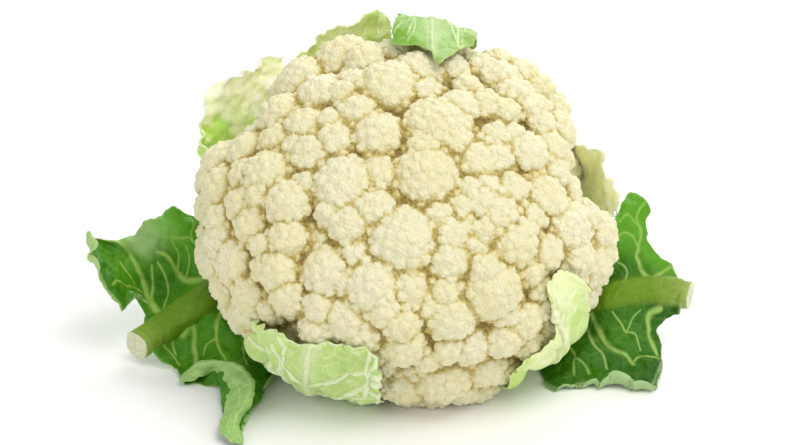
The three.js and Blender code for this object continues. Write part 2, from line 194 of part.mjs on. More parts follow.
    [[68, 5.2, -38.8], [66, 0.8, -40.6], [63, -3.6, -42.4], [60, -8, -44.1], [58, -13.2, -45.3], [65, -25.5, -41.9], [72.4, -44.5, -36.2], [68.6, -52.3, -34.8], [62.8, -64.7, -29.4]],
    [[87.1, 0.1, -17.8], [86.1, -6.6, -19.1], [84.4, -12.3, -22.4], [83.2, -17.8, -27.1], [81.9, -22.8, -30.9], [80.9, -31.8, -32.4], [79.7, -42.2, -32.9], [79.4, -51.4, -33.6], [78.9, -61.9, -31.4]],
    [[93.5, 12.8, -14.8], [92.2, 2.3, -14.5], [90.8, -6.9, -17.7], [89.6, -15, -23], [88.2, -23, -26.4], [88.3, -33, -27.8], [89.5, -42, -31.1], [91.5, -51.4, -33.6], [93.4, -64, -29.9]],
    [[100.3, 23.8, -16.6], [98.6, 9.3, -14.7], [97.5, -2.9, -17], [96, -13.3, -20.5], [94.7, -21.9, -24.7], [95.5, -29.9, -28.2], [97.1, -39.3, -31.9], [99.9, -49.4, -33.8], [103.6, -64.7, -29.4]],
    [[107.5, 18.3, -21.2], [104.6, 6.5, -18.8], [102.5, -3.7, -20], [101.6, -11.3, -24.4], [100.6, -19.9, -26.8], [101.3, -27.4, -29.4], [103, -35.4, -32.8], [105.3, -45.3, -34.3], [109.5, -55.4, -33.1]],
    [[104.8, 7, -21.7], [105.9, -0.6, -22.3], [106.1, -7.3, -23.6], [106.5, -12.7, -26.5], [106.9, -18.7, -28.3], [107.3, -25.1, -31.1], [107.2, -31.9, -34.2], [108.5, -38.3, -36.9], [112, -45.8, -36.5]],
    [[110.9, -2.8, -25.6], [112.2, -6.1, -27], [112.9, -10.1, -27.7], [113.6, -14.9, -28], [114.5, -18.5, -29.7], [113.5, -23.3, -31.7], [111.9, -26.7, -34.9], [110.1, -31, -36.1], [109.9, -36.3, -37.2]],
    [[117.1, -6.6, -27.8], [118.4, -8.9, -29.3], [119.7, -11.8, -30.2], [120.8, -15.3, -30.2], [122, -19, -30.5], [121, -23.3, -31.7], [120.2, -25.8, -33.7], [118.1, -27.6, -36.1], [114.3, -28.7, -37.7]],
  ],
};

// ---- head frame -> floor frame -------------------------------------------
const lean = new THREE.Matrix4().makeRotationX(TILT)
  .premultiply(new THREE.Matrix4().makeTranslation(0, 0, HEAD_HEIGHT));
const place = (x, y, z) => new THREE.Vector3(x, y, z).applyMatrix4(lean);
const florets = FLORETS.map(([x, y, z, r]) => ({ c: place(x, y, z), r }));

// ---- solids ---------------------------------------------------------------
function solidOf(geometry) {
  const g = geometry.clone();
  g.deleteAttribute('normal');
  g.deleteAttribute('uv');
  const m = mergeVertices(g, 1e-4);
  const tri = m.index.array;
  const keep = [];
  for (let i = 0; i < tri.length; i += 3) {
    if (tri[i] !== tri[i + 1] && tri[i + 1] !== tri[i + 2] && tri[i] !== tri[i + 2]) {
      keep.push(tri[i], tri[i + 1], tri[i + 2]);
    }
  }
  return new wasm.Manifold(new wasm.Mesh({
    numProp: 3,
    vertProperties: new Float32Array(m.attributes.position.array),
    triVerts: new Uint32Array(keep),
  }));
}
function geometryOf(solid) {
  const mesh = solid.getMesh();
  const g = new THREE.BufferGeometry();
  g.setAttribute('position', new THREE.BufferAttribute(new Float32Array(mesh.vertProperties), 3));
  g.setIndex(new THREE.BufferAttribute(new Uint32Array(mesh.triVerts), 1));
  g.computeVertexNormals();
  return g;
}
function joined(solids) {
  let row = solids;
  while (row.length > 1) {
    const next = [];
    for (let i = 0; i < row.length; i += 2) {
      next.push(i + 1 < row.length ? row[i].add(row[i + 1]) : row[i]);
    }
    row = next;
  }
  return row[0];
}
const floorSlab = solidOf(new THREE.BoxGeometry(600, 600, 80)
  .applyMatrix4(new THREE.Matrix4().makeTranslation(0, 0, FLOOR - 40)));

function turned(profile, segments) {
  const g = new THREE.LatheGeometry(profile.map(([r, z]) => new THREE.Vector2(r, z)), segments);
  g.rotateX(Math.PI / 2);
  g.scale(1, OVAL, 1);
  return g.applyMatrix4(lean);
}

// ---- curd -----------------------------------------------------------------
// Seen from the head's centre the curd has one surface in every direction: the
// farthest floret, or the solid flesh below it where no floret reaches.
function fleshReach(v) {
  const [a, b] = [CURD_RADIUS - CORE_INSET, OVAL * CURD_RADIUS - CORE_INSET];
  const c = v.z > 0 ? CROWN_HEIGHT - CORE_INSET : UNDER_DEPTH;
  const q = Math.hypot(v.x / a, v.y / b) ** SQUARENESS + Math.abs(v.z / c) ** SQUARENESS;
  let t = q ** (-1 / SQUARENESS);
  for (const [x, y, z, depth, width] of HOLLOWS) {
    const away = Math.acos(Math.min(1, v.x * x + v.y * y + v.z * z)) / width;
    t *= 1 - depth * Math.exp(-away * away);
  }
  return v.z < 0 ? Math.min(t, CURD_BOTTOM / v.z) : t;
}
function curd() {
  const g = new THREE.IcosahedronGeometry(1, CURD_DETAIL);
  const p = g.attributes.position;
  const v = new THREE.Vector3();
  for (let i = 0; i < p.count; i++) {
    v.fromBufferAttribute(p, i).normalize();
    let reach = fleshReach(v);
    for (const [x, y, z, r] of FLORETS) {
      const b = v.x * x + v.y * y + v.z * z;
      const d = b * b - (x * x + y * y + z * z) + r * r;
      if (b > 0 && d > 0) reach = Math.max(reach, b + Math.sqrt(d));
    }
    p.setXYZ(i, v.x * reach, v.y * reach, v.z * reach);
  }
  g.applyMatrix4(lean);
  return geometryOf(solidOf(g).subtract(floorSlab));
}

// ---- stalk ----------------------------------------------------------------
function stalk() {
  const r = STALK_RADIUS;
  const g = turned([
    [0, STALK_END], [r - 1.4, STALK_END], [r - 0.4, STALK_END + 1.2], [r - 0.8, -55],
    [r - 0.3, -50], [r, STALK_TOP], [0, STALK_TOP],
  ], 36);
  return geometryOf(solidOf(g).subtract(floorSlab));
}

// ---- leaves ---------------------------------------------------------------
function spline(points, t) {
  const n = points.length;
  const i = Math.min(Math.floor(t), n - 2);
  const f = t - i;
  const at = (k) => {
    if (k < 0) return points[0].clone().multiplyScalar(2).sub(points[1]);
    if (k > n - 1) return points[n - 1].clone().multiplyScalar(2).sub(points[n - 2]);
    return points[k];
  };
  const [a, b, c, d] = [at(i - 1), at(i), at(i + 1), at(i + 2)];
  const mix = (p, q, r, s) => q + 0.5 * f * (r - p + f * (2 * p - 5 * q + 4 * r - s + f * (3 * (q - r) + s - p)));
  return new THREE.Vector3(mix(a.x, b.x, c.x, d.x), mix(a.y, b.y, c.y, d.y), mix(a.z, b.z, c.z, d.z));
}
function net(name, nu, nv) {
  const rows = NETS[name].map((row) => row.map(([x, y, z]) => place(x, y, z)));
  const cols = rows[0].length;
  const out = [];
  for (let i = 0; i <= nu; i++) {
    const u = (i / nu) * (rows.length - 1);
    const across = [];
    for (let j = 0; j < cols; j++) across.push(spline(rows.map((row) => row[j]), u));
    const line = [];
    for (let j = 0; j <= nv; j++) line.push(spline(across, (j / nv) * (cols - 1)));
    out.push(line);
  }
  return out;
}
function offFlorets(p, gap, low = FLOOR + gap) {
  for (let pass = 0; pass < 8; pass++) {
    let deep = 0;
    let hit = null;
    for (const f of florets) {
      const pen = f.r + gap - p.distanceTo(f.c);
      if (pen > deep) { deep = pen; hit = f; }
    }
    if (!hit) break;
    p.add(p.clone().sub(hit.c).normalize().multiplyScalar(deep + 0.01));
  }
  p.z = Math.max(p.z, low);
  return p;
}
// A leaf is a curved sheet thickened to both sides, more toward its back,
// and thicker still along the rib. `up` is the side the upper face looks to.
function sheet(name, { nu, nv, rib, reach, mid, up, gap = CLEAR }) {
  const P = net(name, nu, nv);
  const jm = Math.round(mid * nv);
  const thick = P.map((line, i) => line.map((p, j) => {
    const d = p.distanceTo(line[jm]);
    const t = rib[0] + (rib[1] - rib[0]) * (i / nu);
    return BLADE + Math.max(0, t - BLADE) * Math.exp(-((d / reach) ** 2));
  }));
  P.forEach((line, i) => line.forEach((p, j) => offFlorets(p, thick[i][j] * 0.5 + gap, FLOOR + thick[i][j] * 0.5 + 0.1)));
  const N = P.map((line, i) => line.map((p, j) => {
    const a = P[Math.min(i + 1, nu)][j].clone().sub(P[Math.max(i - 1, 0)][j]);
    const b = line[Math.min(j + 1, nv)].clone().sub(line[Math.max(j - 1, 0)]);
    return a.cross(b).normalize();
  }));
  const flip = N[Math.round(nu * 0.5)][jm].dot(new THREE.Vector3(...up)) < 0 ? -1 : 1;
  const pos = [];
  const id = (s, i, j) => (s * (nu + 1) + i) * (nv + 1) + j;
  for (const s of [0, 1]) {
    P.forEach((line, i) => line.forEach((p, j) => {
      const w = s ? -0.5 : 0.5;
      const q = p.clone().addScaledVector(N[i][j], flip * w * thick[i][j]);
      q.z = Math.max(q.z, FLOOR);
      pos.push(q.x, q.y, q.z);
    }));
  }
  const tri = [];
  const quad = (a, b, c, d) => tri.push(a, b, c, a, c, d);
  for (let i = 0; i < nu; i++) {
    for (let j = 0; j < nv; j++) {
      quad(id(0, i, j), id(0, i + 1, j), id(0, i + 1, j + 1), id(0, i, j + 1));
      quad(id(1, i, j), id(1, i, j + 1), id(1, i + 1, j + 1), id(1, i + 1, j));
    }
    quad(id(0, i, 0), id(1, i, 0), id(1, i + 1, 0), id(0, i + 1, 0));
    quad(id(0, i, nv), id(0, i + 1, nv), id(1, i + 1, nv), id(1, i, nv));
  }
  for (let j = 0; j < nv; j++) {
    quad(id(0, 0, j), id(0, 0, j + 1), id(1, 0, j + 1), id(1, 0, j));
    quad(id(0, nu, j), id(1, nu, j), id(1, nu, j + 1), id(0, nu, j + 1));
  }
  if (flip < 0) for (let k = 0; k < tri.length; k += 3) [tri[k], tri[k + 1]] = [tri[k + 1], tri[k]];
  const g = new THREE.BufferGeometry();
  g.setAttribute('position', new THREE.BufferAttribute(new Float32Array(pos), 3));
  g.setIndex(tri);
  return { geometry: g, P, N, flip, jm };
}
// A solid bar of oval section through a list of {p, side, up, w, h} stations.
function bar(stations, facets) {
  const pos = [];
  const tri = [];
  stations.forEach(({ p, side, up, w, h }) => {
    for (let k = 0; k < facets; k++) {
      const a = (k / facets) * 2 * Math.PI;
      const q = p.clone().addScaledVector(side, w * Math.cos(a)).addScaledVector(up, h * Math.sin(a));
      pos.push(q.x, q.y, Math.max(q.z, FLOOR));
    }
  });
  const n = stations.length;
  const id = (i, k) => i * facets + (k % facets);
  for (let i = 0; i + 1 < n; i++) {
    for (let k = 0; k < facets; k++) {
      tri.push(id(i, k), id(i, k + 1), id(i + 1, k + 1), id(i, k), id(i + 1, k + 1), id(i + 1, k));
    }
  }
  for (const [i, s] of [[0, -1], [n - 1, 1]]) {
    const c = stations[i].p;
    pos.push(c.x, c.y, c.z);
    const m = pos.length / 3 - 1;
    for (let k = 0; k < facets; k++) {
      if (s > 0) tri.push(m, id(i, k), id(i, k + 1)); else tri.push(m, id(i, k + 1), id(i, k));
    }
  }
  const g = new THREE.BufferGeometry();
  g.setAttribute('position', new THREE.BufferAttribute(new Float32Array(pos), 3));
  g.setIndex(tri);
  return g;
}
// outward volume decides whether a closed mesh has to be turned inside out
function outward(geometry) {
  const p = geometry.attributes.position;
  const t = geometry.index.array;
  let v = 0;
  const [a, b, c] = [new THREE.Vector3(), new THREE.Vector3(), new THREE.Vector3()];
  for (let i = 0; i < t.length; i += 3) {
    a.fromBufferAttribute(p, t[i]);
    b.fromBufferAttribute(p, t[i + 1]);
    c.fromBufferAttribute(p, t[i + 2]);
    v += a.dot(b.cross(c));
  }
  if (v < 0) for (let i = 0; i < t.length; i += 3) [t[i], t[i + 1]] = [t[i + 1], t[i]];
  return geometry;
}
function innerLeaf(name, options) {
  const { geometry } = sheet(name, options);
  return geometryOf(solidOf(outward(geometry)));
}
// Outer leaf: blade joined with a thick midrib that ends in a cut face.
function outerLeaf(name, options, ribFrom, ribTo, beyond) {
  const { geometry, P, N, flip, jm } = sheet(name, options);
  const nu = P.length - 1;
  const stations = [];
  for (let i = 0; i <= nu; i++) {
    const t = i / nu;
    const p = P[i][jm];
    const up = N[i][jm].clone().multiplyScalar(flip);
    const ahead = P[Math.min(i + 1, nu)][jm].clone().sub(P[Math.max(i - 1, 0)][jm]).normalize();
    const side = new THREE.Vector3().crossVectors(ahead, up).normalize();
    const w = ribFrom[0] + (ribTo[0] - ribFrom[0]) * t;
    const h = ribFrom[1] + (ribTo[1] - ribFrom[1]) * t;
    stations.push({ p: p.clone().addScaledVector(up, -0.25 * h), side, up, w, h, ahead });
  }
  const last = stations[nu];
  stations.push({ ...last, p: last.p.clone().addScaledVector(last.ahead, beyond) });
  stations.forEach((s) => { s.p = offFlorets(s.p, s.h + CLEAR); });
  const rib = bar(stations, 10);
  return geometryOf(joined([solidOf(outward(geometry)), solidOf(outward(rib))]).subtract(floorSlab));
}
// Cut base of an outer leaf that was trimmed away.
function stub(azimuth, width, drop) {
  const a = THREE.MathUtils.degToRad(azimuth);
  const dir = new THREE.Vector3(Math.cos(a), OVAL * Math.sin(a), 0).normalize();
  const n = 6;
  const stations = [];
  for (let i = 0; i <= n; i++) {
    const t = i / n;
    const rho = 24.3 + STUB_LENGTH * t;
    const z = -57.3 + drop * t * t;
    const p = place(rho * Math.cos(a), OVAL * rho * Math.sin(a), z);
    const up = new THREE.Vector3(0, 0, 1).transformDirection(lean);
    const ahead = dir.clone().transformDirection(lean);
    const side = new THREE.Vector3().crossVectors(ahead, up).normalize();
    stations.push({ p, side, up, w: width * (0.78 + 0.34 * t - 0.24 * t * t), h: 3.1 - 0.3 * t });
  }
  return geometryOf(solidOf(outward(bar(stations, 14))));
}

// ---- assembly ---------------------------------------------------------------
const head = new THREE.Group();
function add(name, geometry, material) {
  const mesh = new THREE.Mesh(geometry, material.clone());
  mesh.name = name;
  head.add(mesh);
}
add('curd', curd(), CURD);
add('stalk', stalk(), STALK);
add('leaf_outer_left', outerLeaf('outerLeft',
  { nu: 13, nv: 12, rib: [7, 4], reach: 7, mid: 0.4, up: [0, -0.3, 1] }, [8.5, 5], [5.6, 5.2], 4), DARK_LEAF);
add('leaf_outer_right', outerLeaf('outerRight',
  { nu: 13, nv: 10, rib: [7, 4], reach: 7, mid: 0.5, up: [0, -0.8, 0.6], gap: 1.6 }, [8.5, 5], [5.4, 4.6], 3), DARK_LEAF);
add('leaf_inner_top_left', innerLeaf('topLeft',
  { nu: 12, nv: 9, rib: [6, 2], reach: 9, mid: 0.5, up: [1, 0, 0.2], gap: 1.1 }), PALE_LEAF);
add('leaf_inner_top', innerLeaf('top',
  { nu: 12, nv: 9, rib: [6, 2], reach: 9, mid: 0.5, up: [0, -1, 0] }), PALE_LEAF);
add('leaf_inner_top_folded', innerLeaf('topFolded',
  { nu: 16, nv: 8, rib: [6, 2], reach: 8, mid: 0.5, up: [0, -1, 0] }), GREEN_TIP);
add('leaf_inner_right', innerLeaf('right',
  { nu: 12, nv: 9, rib: [6, 2], reach: 9, mid: 0.5, up: [-1, 0, 0.2], gap: 3.1 }), PALE_LEAF);
add('leaf_inner_lower_right', innerLeaf('lowerRight',
  { nu: 14, nv: 12, rib: [5, 2], reach: 8, mid: 0.5, up: [-1, 1, 1], gap: 2.2 }), PALE_LEAF);
add('leaf_inner_lower_left', innerLeaf('lowerLeft',
  { nu: 12, nv: 12, rib: [5, 2], reach: 8, mid: 0.5, up: [1, 1, 1], gap: 2.7 }), PALE_LEAF);
add('leaf_stub_1', stub(52, 10.5, 3), STUB);
add('leaf_stub_2', stub(96, 11, 2.5), STUB);
add('leaf_stub_3', stub(140, 10, 3.5), STUB);

// origin: middle of the overall footprint, on the floor
head.updateMatrixWorld(true);
const box = new THREE.Box3().setFromObject(head);
const middle = box.getCenter(new THREE.Vector3());
head.children.forEach((m) => m.geometry.translate(-middle.x, -middle.y, -box.min.z));

export default head;
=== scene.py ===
import math
import bpy
import mathutils
import numpy as np
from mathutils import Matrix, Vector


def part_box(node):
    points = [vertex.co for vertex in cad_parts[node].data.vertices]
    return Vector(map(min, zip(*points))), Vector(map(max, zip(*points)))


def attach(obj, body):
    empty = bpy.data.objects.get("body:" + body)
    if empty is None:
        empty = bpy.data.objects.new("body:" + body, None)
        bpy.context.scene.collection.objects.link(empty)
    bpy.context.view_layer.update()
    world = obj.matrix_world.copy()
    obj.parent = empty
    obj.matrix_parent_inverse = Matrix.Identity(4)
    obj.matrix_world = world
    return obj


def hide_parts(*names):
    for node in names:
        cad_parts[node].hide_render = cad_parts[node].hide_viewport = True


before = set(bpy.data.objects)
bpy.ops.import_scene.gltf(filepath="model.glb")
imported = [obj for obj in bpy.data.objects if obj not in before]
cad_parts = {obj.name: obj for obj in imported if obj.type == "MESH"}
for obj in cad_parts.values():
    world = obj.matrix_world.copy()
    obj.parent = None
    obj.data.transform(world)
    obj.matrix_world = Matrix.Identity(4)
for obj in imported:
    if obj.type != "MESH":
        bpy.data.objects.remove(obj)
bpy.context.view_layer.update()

import openvdb

MM = 0.001

# ---------------------------------------------------------------- frame (mm)
TILT = math.radians(36.0)
HEAD_HEIGHT = 64.4
FLOOR = 1.8
MIDDLE = np.array([-6.40382, 0.06727])
OVAL = 0.911
CT, ST = math.cos(TILT), math.sin(TILT)
HEAD = np.array([[1, 0, 0], [0, CT, -ST], [0, ST, CT]])      # columns: head axes
OFFSET = np.array([-MIDDLE[0], -MIDDLE[1], HEAD_HEIGHT - FLOOR])


def place(local):
    return np.asarray(local, float) @ HEAD.T + OFFSET


def unplace(world):
    return (np.asarray(world, float) - OFFSET) @ HEAD


CROWN = HEAD[:, 2]

# florets: centre x, y, z in the head's frame, radius (mm)
FLORETS = np.array([
    [-7.2, 37.2, 46.0, 11.4], [-21.1, 40.8, 47.3, 5.1], [-20.1, 23.2, 51.4, 6.7], [-11.6, 10.7, 52.3, 9.1],
    [-28.6, 9.2, 51.5, 7.0], [-31.3, 19.5, 51.2, 4.6], [-38.7, 4.9, 47.5, 8.3], [-26.1, 65.8, 23.6, 10.4],
    [-16.8, 59.3, 34.1, 7.3], [5.5, 47.9, 39.7, 10.2], [-2.2, 62.1, 31.3, 7.8], [8.4, 35.0, 47.1, 6.3],
    [-43.9, 57.1, 21.3, 9.6], [-35.1, 36.3, 42.5, 8.4], [-26.1, 34.1, 47.8, 5.9], [-51.4, 30.4, 36.0, 8.5],
    [-41.5, 19.4, 46.4, 7.1], [-53.3, 15.4, 40.8, 6.7], [-45.4, 9.2, 47.4, 5.0], [-56.2, -1.8, 41.6, 9.1],
    [-47.8, -17.2, 47.2, 7.8], [-40.8, -11.3, 49.3, 5.3], [-59.3, -10.2, 41.3, 6.2], [-78.8, 19.4, 12.3, 8.6],
    [-67.2, 15.8, 32.4, 6.3], [-75.8, 2.0, 22.4, 9.3], [-67.5, 1.8, 36.8, 5.0], [-68.0, -10.4, 34.7, 5.8],
    [-82.1, 3.5, 7.3, 7.3], [-83.4, 14.2, 11.0, 6.0], [-24.3, -12.7, 49.1, 12.3], [-11.5, -8.2, 53.0, 7.4],
    [-12.7, -23.6, 52.1, 7.8], [-22.5, -28.1, 50.2, 7.7], [-29.4, -23.0, 51.0, 5.7], [-31.7, -12.3, 51.9, 5.7],
    [-48.0, -31.0, 42.4, 7.0], [-51.7, -42.9, 36.9, 6.6], [-46.8, -51.7, 31.7, 7.0], [-75.3, -19.5, 19.7, 8.4],
    [-77.0, -13.0, 23.7, 6.3], [-61.9, -21.0, 35.1, 7.4], [-68.6, -30.8, 21.5, 9.2], [-74.4, -33.7, 6.6, 7.2],
    [-62.1, -43.9, 17.8, 8.7], [-58.9, -32.2, 38.6, 3.7], [-58.1, -40.5, 34.9, 3.7], [-66.2, -47.9, 9.9, 5.0],
    [-79.5, -25.1, 10.3, 5.5], [-55.1, -52.2, 21.6, 5.0], [-34.6, -30.6, 39.8, 7.8], [-39.9, -27.3, 41.6, 4.1],
    [-30.7, -36.6, 41.6, 4.9], [-31.4, -45.7, 40.6, 8.6], [-24.4, -50.1, 42.2, 5.3], [-13.0, -53.1, 41.8, 9.3],
    [-8.5, -61.1, 38.7, 6.5], [-19.6, -40.1, 44.9, 6.9], [-11.8, -42.8, 44.6, 4.9], [-34.7, -57.7, 34.5, 5.7],
    [-35.3, -63.7, 26.4, 6.5], [-22.9, -61.7, 31.6, 8.6], [-17.6, -67.9, 29.4, 6.1], [1.2, -53.5, 40.9, 7.3],
    [-2.0, -64.9, 34.4, 6.5], [-1.2, -68.8, 23.9, 8.2], [-6.9, -60.0, 40.2, 4.9], [-1.2, -35.1, 46.7, 12.6],
    [8.7, -8.1, 51.0, 11.9], [13.9, -26.4, 52.1, 4.9], [13.4, 14.8, 47.7, 13.7], [20.7, 8.5, 53.7, 5.8],
    [8.2, 3.5, 55.7, 5.8], [19.1, -34.1, 50.1, 5.7], [17.9, -41.8, 44.4, 8.1], [16.2, -54.0, 39.9, 5.7],
    [18.4, -59.3, 31.3, 9.4], [10.2, -58.6, 37.2, 4.9], [34.8, -49.8, 36.1, 10.6], [33.0, -47.0, 46.0, 4.5],
    [45.1, -34.5, 43.1, 7.4], [48.8, -29.4, 45.5, 4.1], [40.8, -38.4, 44.3, 4.1], [30.2, -1.0, 49.4, 8.2],
    [37.8, -23.1, 46.8, 8.2], [31.6, -18.9, 51.2, 5.7], [26.7, -14.1, 52.7, 4.5], [23.7, -21.4, 52.2, 4.5],
    [34.1, -12.8, 51.1, 4.9], [28.6, -37.4, 45.8, 5.3], [24.9, -30.4, 49.3, 4.5], [32.2, -30.9, 48.4, 4.9],
    [38.5, 1.8, 50.3, 5.4], [38.3, 13.3, 48.6, 5.4], [44.6, 13.3, 46.8, 5.4], [32.4, 10.5, 49.3, 4.2],
    [44.1, -11.5, 47.9, 5.8], [55.7, -10.7, 38.6, 9.5], [51.9, -21.6, 43.1, 4.9], [50.8, 6.5, 45.4, 7.5],
    [60.5, 12.3, 38.7, 6.7], [64.3, 27.3, 30.4, 6.8], [57.4, 25.0, 39.4, 5.1], [61.9, 2.5, 38.9, 5.4],
    [20.1, 51.7, 39.2, 6.0], [26.6, 39.3, 46.6, 4.2], [32.3, 56.8, 30.0, 7.3], [40.8, 51.0, 31.4, 8.2],
    [33.6, 29.1, 48.0, 5.5], [23.5, 26.7, 48.9, 7.1], [47.2, 38.9, 38.2, 7.2], [53.4, 32.1, 38.0, 7.2],
    [57.2, 52.9, 21.5, 6.5], [50.4, 59.0, 23.1, 6.5], [64.0, 45.1, 19.4, 6.1], [40.4, 65.1, 24.8, 5.2],
    [42.0, 27.0, 46.6, 5.0], [57.7, -34.2, 36.1, 5.8], [51.8, -42.1, 35.3, 4.9], [65.5, -20.0, 29.6, 10.0],
    [69.8, -28.9, 23.3, 7.9], [54.5, -45.7, 27.8, 4.9], [61.0, -13.6, 39.6, 5.4], [83.6, -8.2, 2.7, 7.3],
    [80.1, -20.3, -2.8, 8.1], [70.6, -15.4, 31.6, 4.6], [85.4, -15.8, -1.4, 4.7], [48.0, -56.5, 20.9, 7.4],
    [58.9, -52.2, 4.2, 7.1], [40.5, -63.1, 17.6, 7.0], [51.1, -59.9, 4.8, 5.8], [41.9, -57.1, 27.7, 4.9],
    [56.0, -50.5, 19.9, 5.4], [62.5, -52.7, -9.4, 4.2], [26.0, -66.0, 17.8, 7.8], [32.3, -67.4, -1.9, 8.4],
    [17.7, -70.7, 21.0, 4.9], [15.9, -71.8, -1.3, 10.8], [0.4, -72.1, -6.7, 9.2], [9.5, -73.0, 17.1, 4.5],
    [41.5, -63.8, -10.7, 6.8], [24.5, -74.0, -12.9, 5.5], [-6.3, -74.9, -5.6, 5.0], [-12.3, -70.9, 20.4, 4.9],
    [-50.4, 38.5, 23.6, 7.5], [-19.9, 70.5, -6.2, 8.7], [-71.8, -34.5, -10.3, 7.2], [-11.4, 68.1, -16.1, 8.7],
    [-48.7, 55.8, -17.0, 7.1], [-51.2, 57.0, 11.0, 7.1], [79.8, -3.6, -12.9, 9.1], [54.3, -55.1, -7.1, 7.4],
    [-78.6, 23.8, -2.8, 8.2], [-62.1, 27.4, 22.6, 6.6], [-39.8, 63.0, -6.2, 10.6], [-38.9, -63.0, -8.9, 8.5],
    [25.8, 66.9, -11.7, 9.2], [18.4, 66.8, 19.7, 10.8], [-80.1, -3.8, -10.2, 8.9], [-79.8, -16.2, -1.3, 9.6],
    [-30.9, -61.1, 9.6, 7.2], [10.9, 71.9, -1.6, 10.9], [64.9, -41.7, -7.0, 10.0], [-8.9, -67.5, 7.8, 7.3],
    [-26.6, -71.9, -1.3, 7.1], [68.3, -28.7, 3.6, 8.7], [-41.3, -52.8, 16.7, 6.8], [74.8, -28.9, -11.9, 7.7],
    [65.3, 44.7, -5.8, 7.2], [-14.8, 69.2, 12.1, 10.9], [-52.5, -50.5, -12.6, 9.9], [-75.3, 16.1, -14.3, 10.4],
    [-46.4, -54.5, 6.0, 5.8], [38.5, 61.0, 11.9, 10.5], [60.1, -36.9, 17.7, 7.0], [5.5, 72.5, 14.6, 7.9],
    [-18.3, -66.0, -10.1, 9.0], [41.2, 61.0, -9.9, 9.8], [50.0, 41.1, 25.1, 5.8], [-66.5, -42.9, -4.4, 8.1],
    [78.2, -15.7, -15.0, 7.3], [-63.8, 38.9, -10.1, 10.8], [2.1, 26.2, 43.4, 5.7], [53.6, 46.4, -15.1, 10.4],
    [-24.8, 44.0, 32.5, 8.4], [51.9, 56.9, 11.3, 8.0], [68.7, 34.2, -14.7, 7.7], [-8.5, 48.6, 34.6, 6.3],
    [-72.0, -20.3, -14.0, 10.9], [12.4, -70.5, -17.7, 8.3], [-82.3, 9.0, -3.5, 7.4], [-58.3, 51.4, -12.9, 7.6],
    [33.1, 36.2, 36.0, 6.2], [-57.6, -55.8, -0.7, 7.2], [-70.3, 15.3, 20.0, 5.6], [11.0, 69.8, -16.2, 9.0],
    [56.4, 55.1, -2.7, 8.3], [-34.3, 69.5, 4.9, 7.2], [-61.8, -41.5, -16.8, 8.0], [4.2, -70.1, 6.4, 6.0],
    [66.7, -0.1, 26.6, 6.6], [70.1, -15.3, 14.7, 8.0], [-4.4, 74.3, 3.9, 7.3], [-29.1, 62.6, -16.3, 9.1],
    [62.2, 49.7, 8.7, 7.4], [-39.4, 44.8, 28.1, 7.3], [25.9, 69.6, 6.1, 10.4], [-57.0, 20.8, 31.9, 5.7],
    [56.0, -46.9, -17.0, 7.7], [-4.6, 0.4, 45.0, 5.9], [29.8, -67.0, -20.4, 8.2], [17.5, 40.8, 39.0, 5.8],
    [41.5, -59.9, -0.4, 5.8], [3.0, -70.2, -18.4, 7.9], [9.4, 63.8, 29.8, 7.0], [-20.5, -63.5, 17.1, 5.8],
    [-0.9, 74.0, -9.5, 7.6], [-76.5, -11.7, 10.8, 6.0], [-1.7, -19.5, 43.6, 6.1], [10.0, -63.0, 22.7, 5.9],
    [18.8, 56.8, 28.2, 6.2], [-4.0, 68.8, 21.5, 8.2], [-74.0, 29.9, -11.5, 7.0], [-53.6, 58.2, -5.7, 7.0],
    [58.1, 34.4, 22.9, 5.8], [-20.8, 1.7, 43.5, 5.9], [64.8, 16.1, 27.3, 5.7], [-9.8, 21.8, 43.0, 5.7],
    [48.3, 17.5, 35.1, 6.2], [64.0, -40.0, 7.2, 6.2], [77.0, -5.8, 13.0, 5.8],
])

# hollows of the rim under the inner leaves: direction, depth, width
HOLLOWS = [(-0.797, 0.574, 0.189, 0.15, 0.27), (0.967, 0.225, 0.122, 0.13, 0.27)]
FILL = 0.565

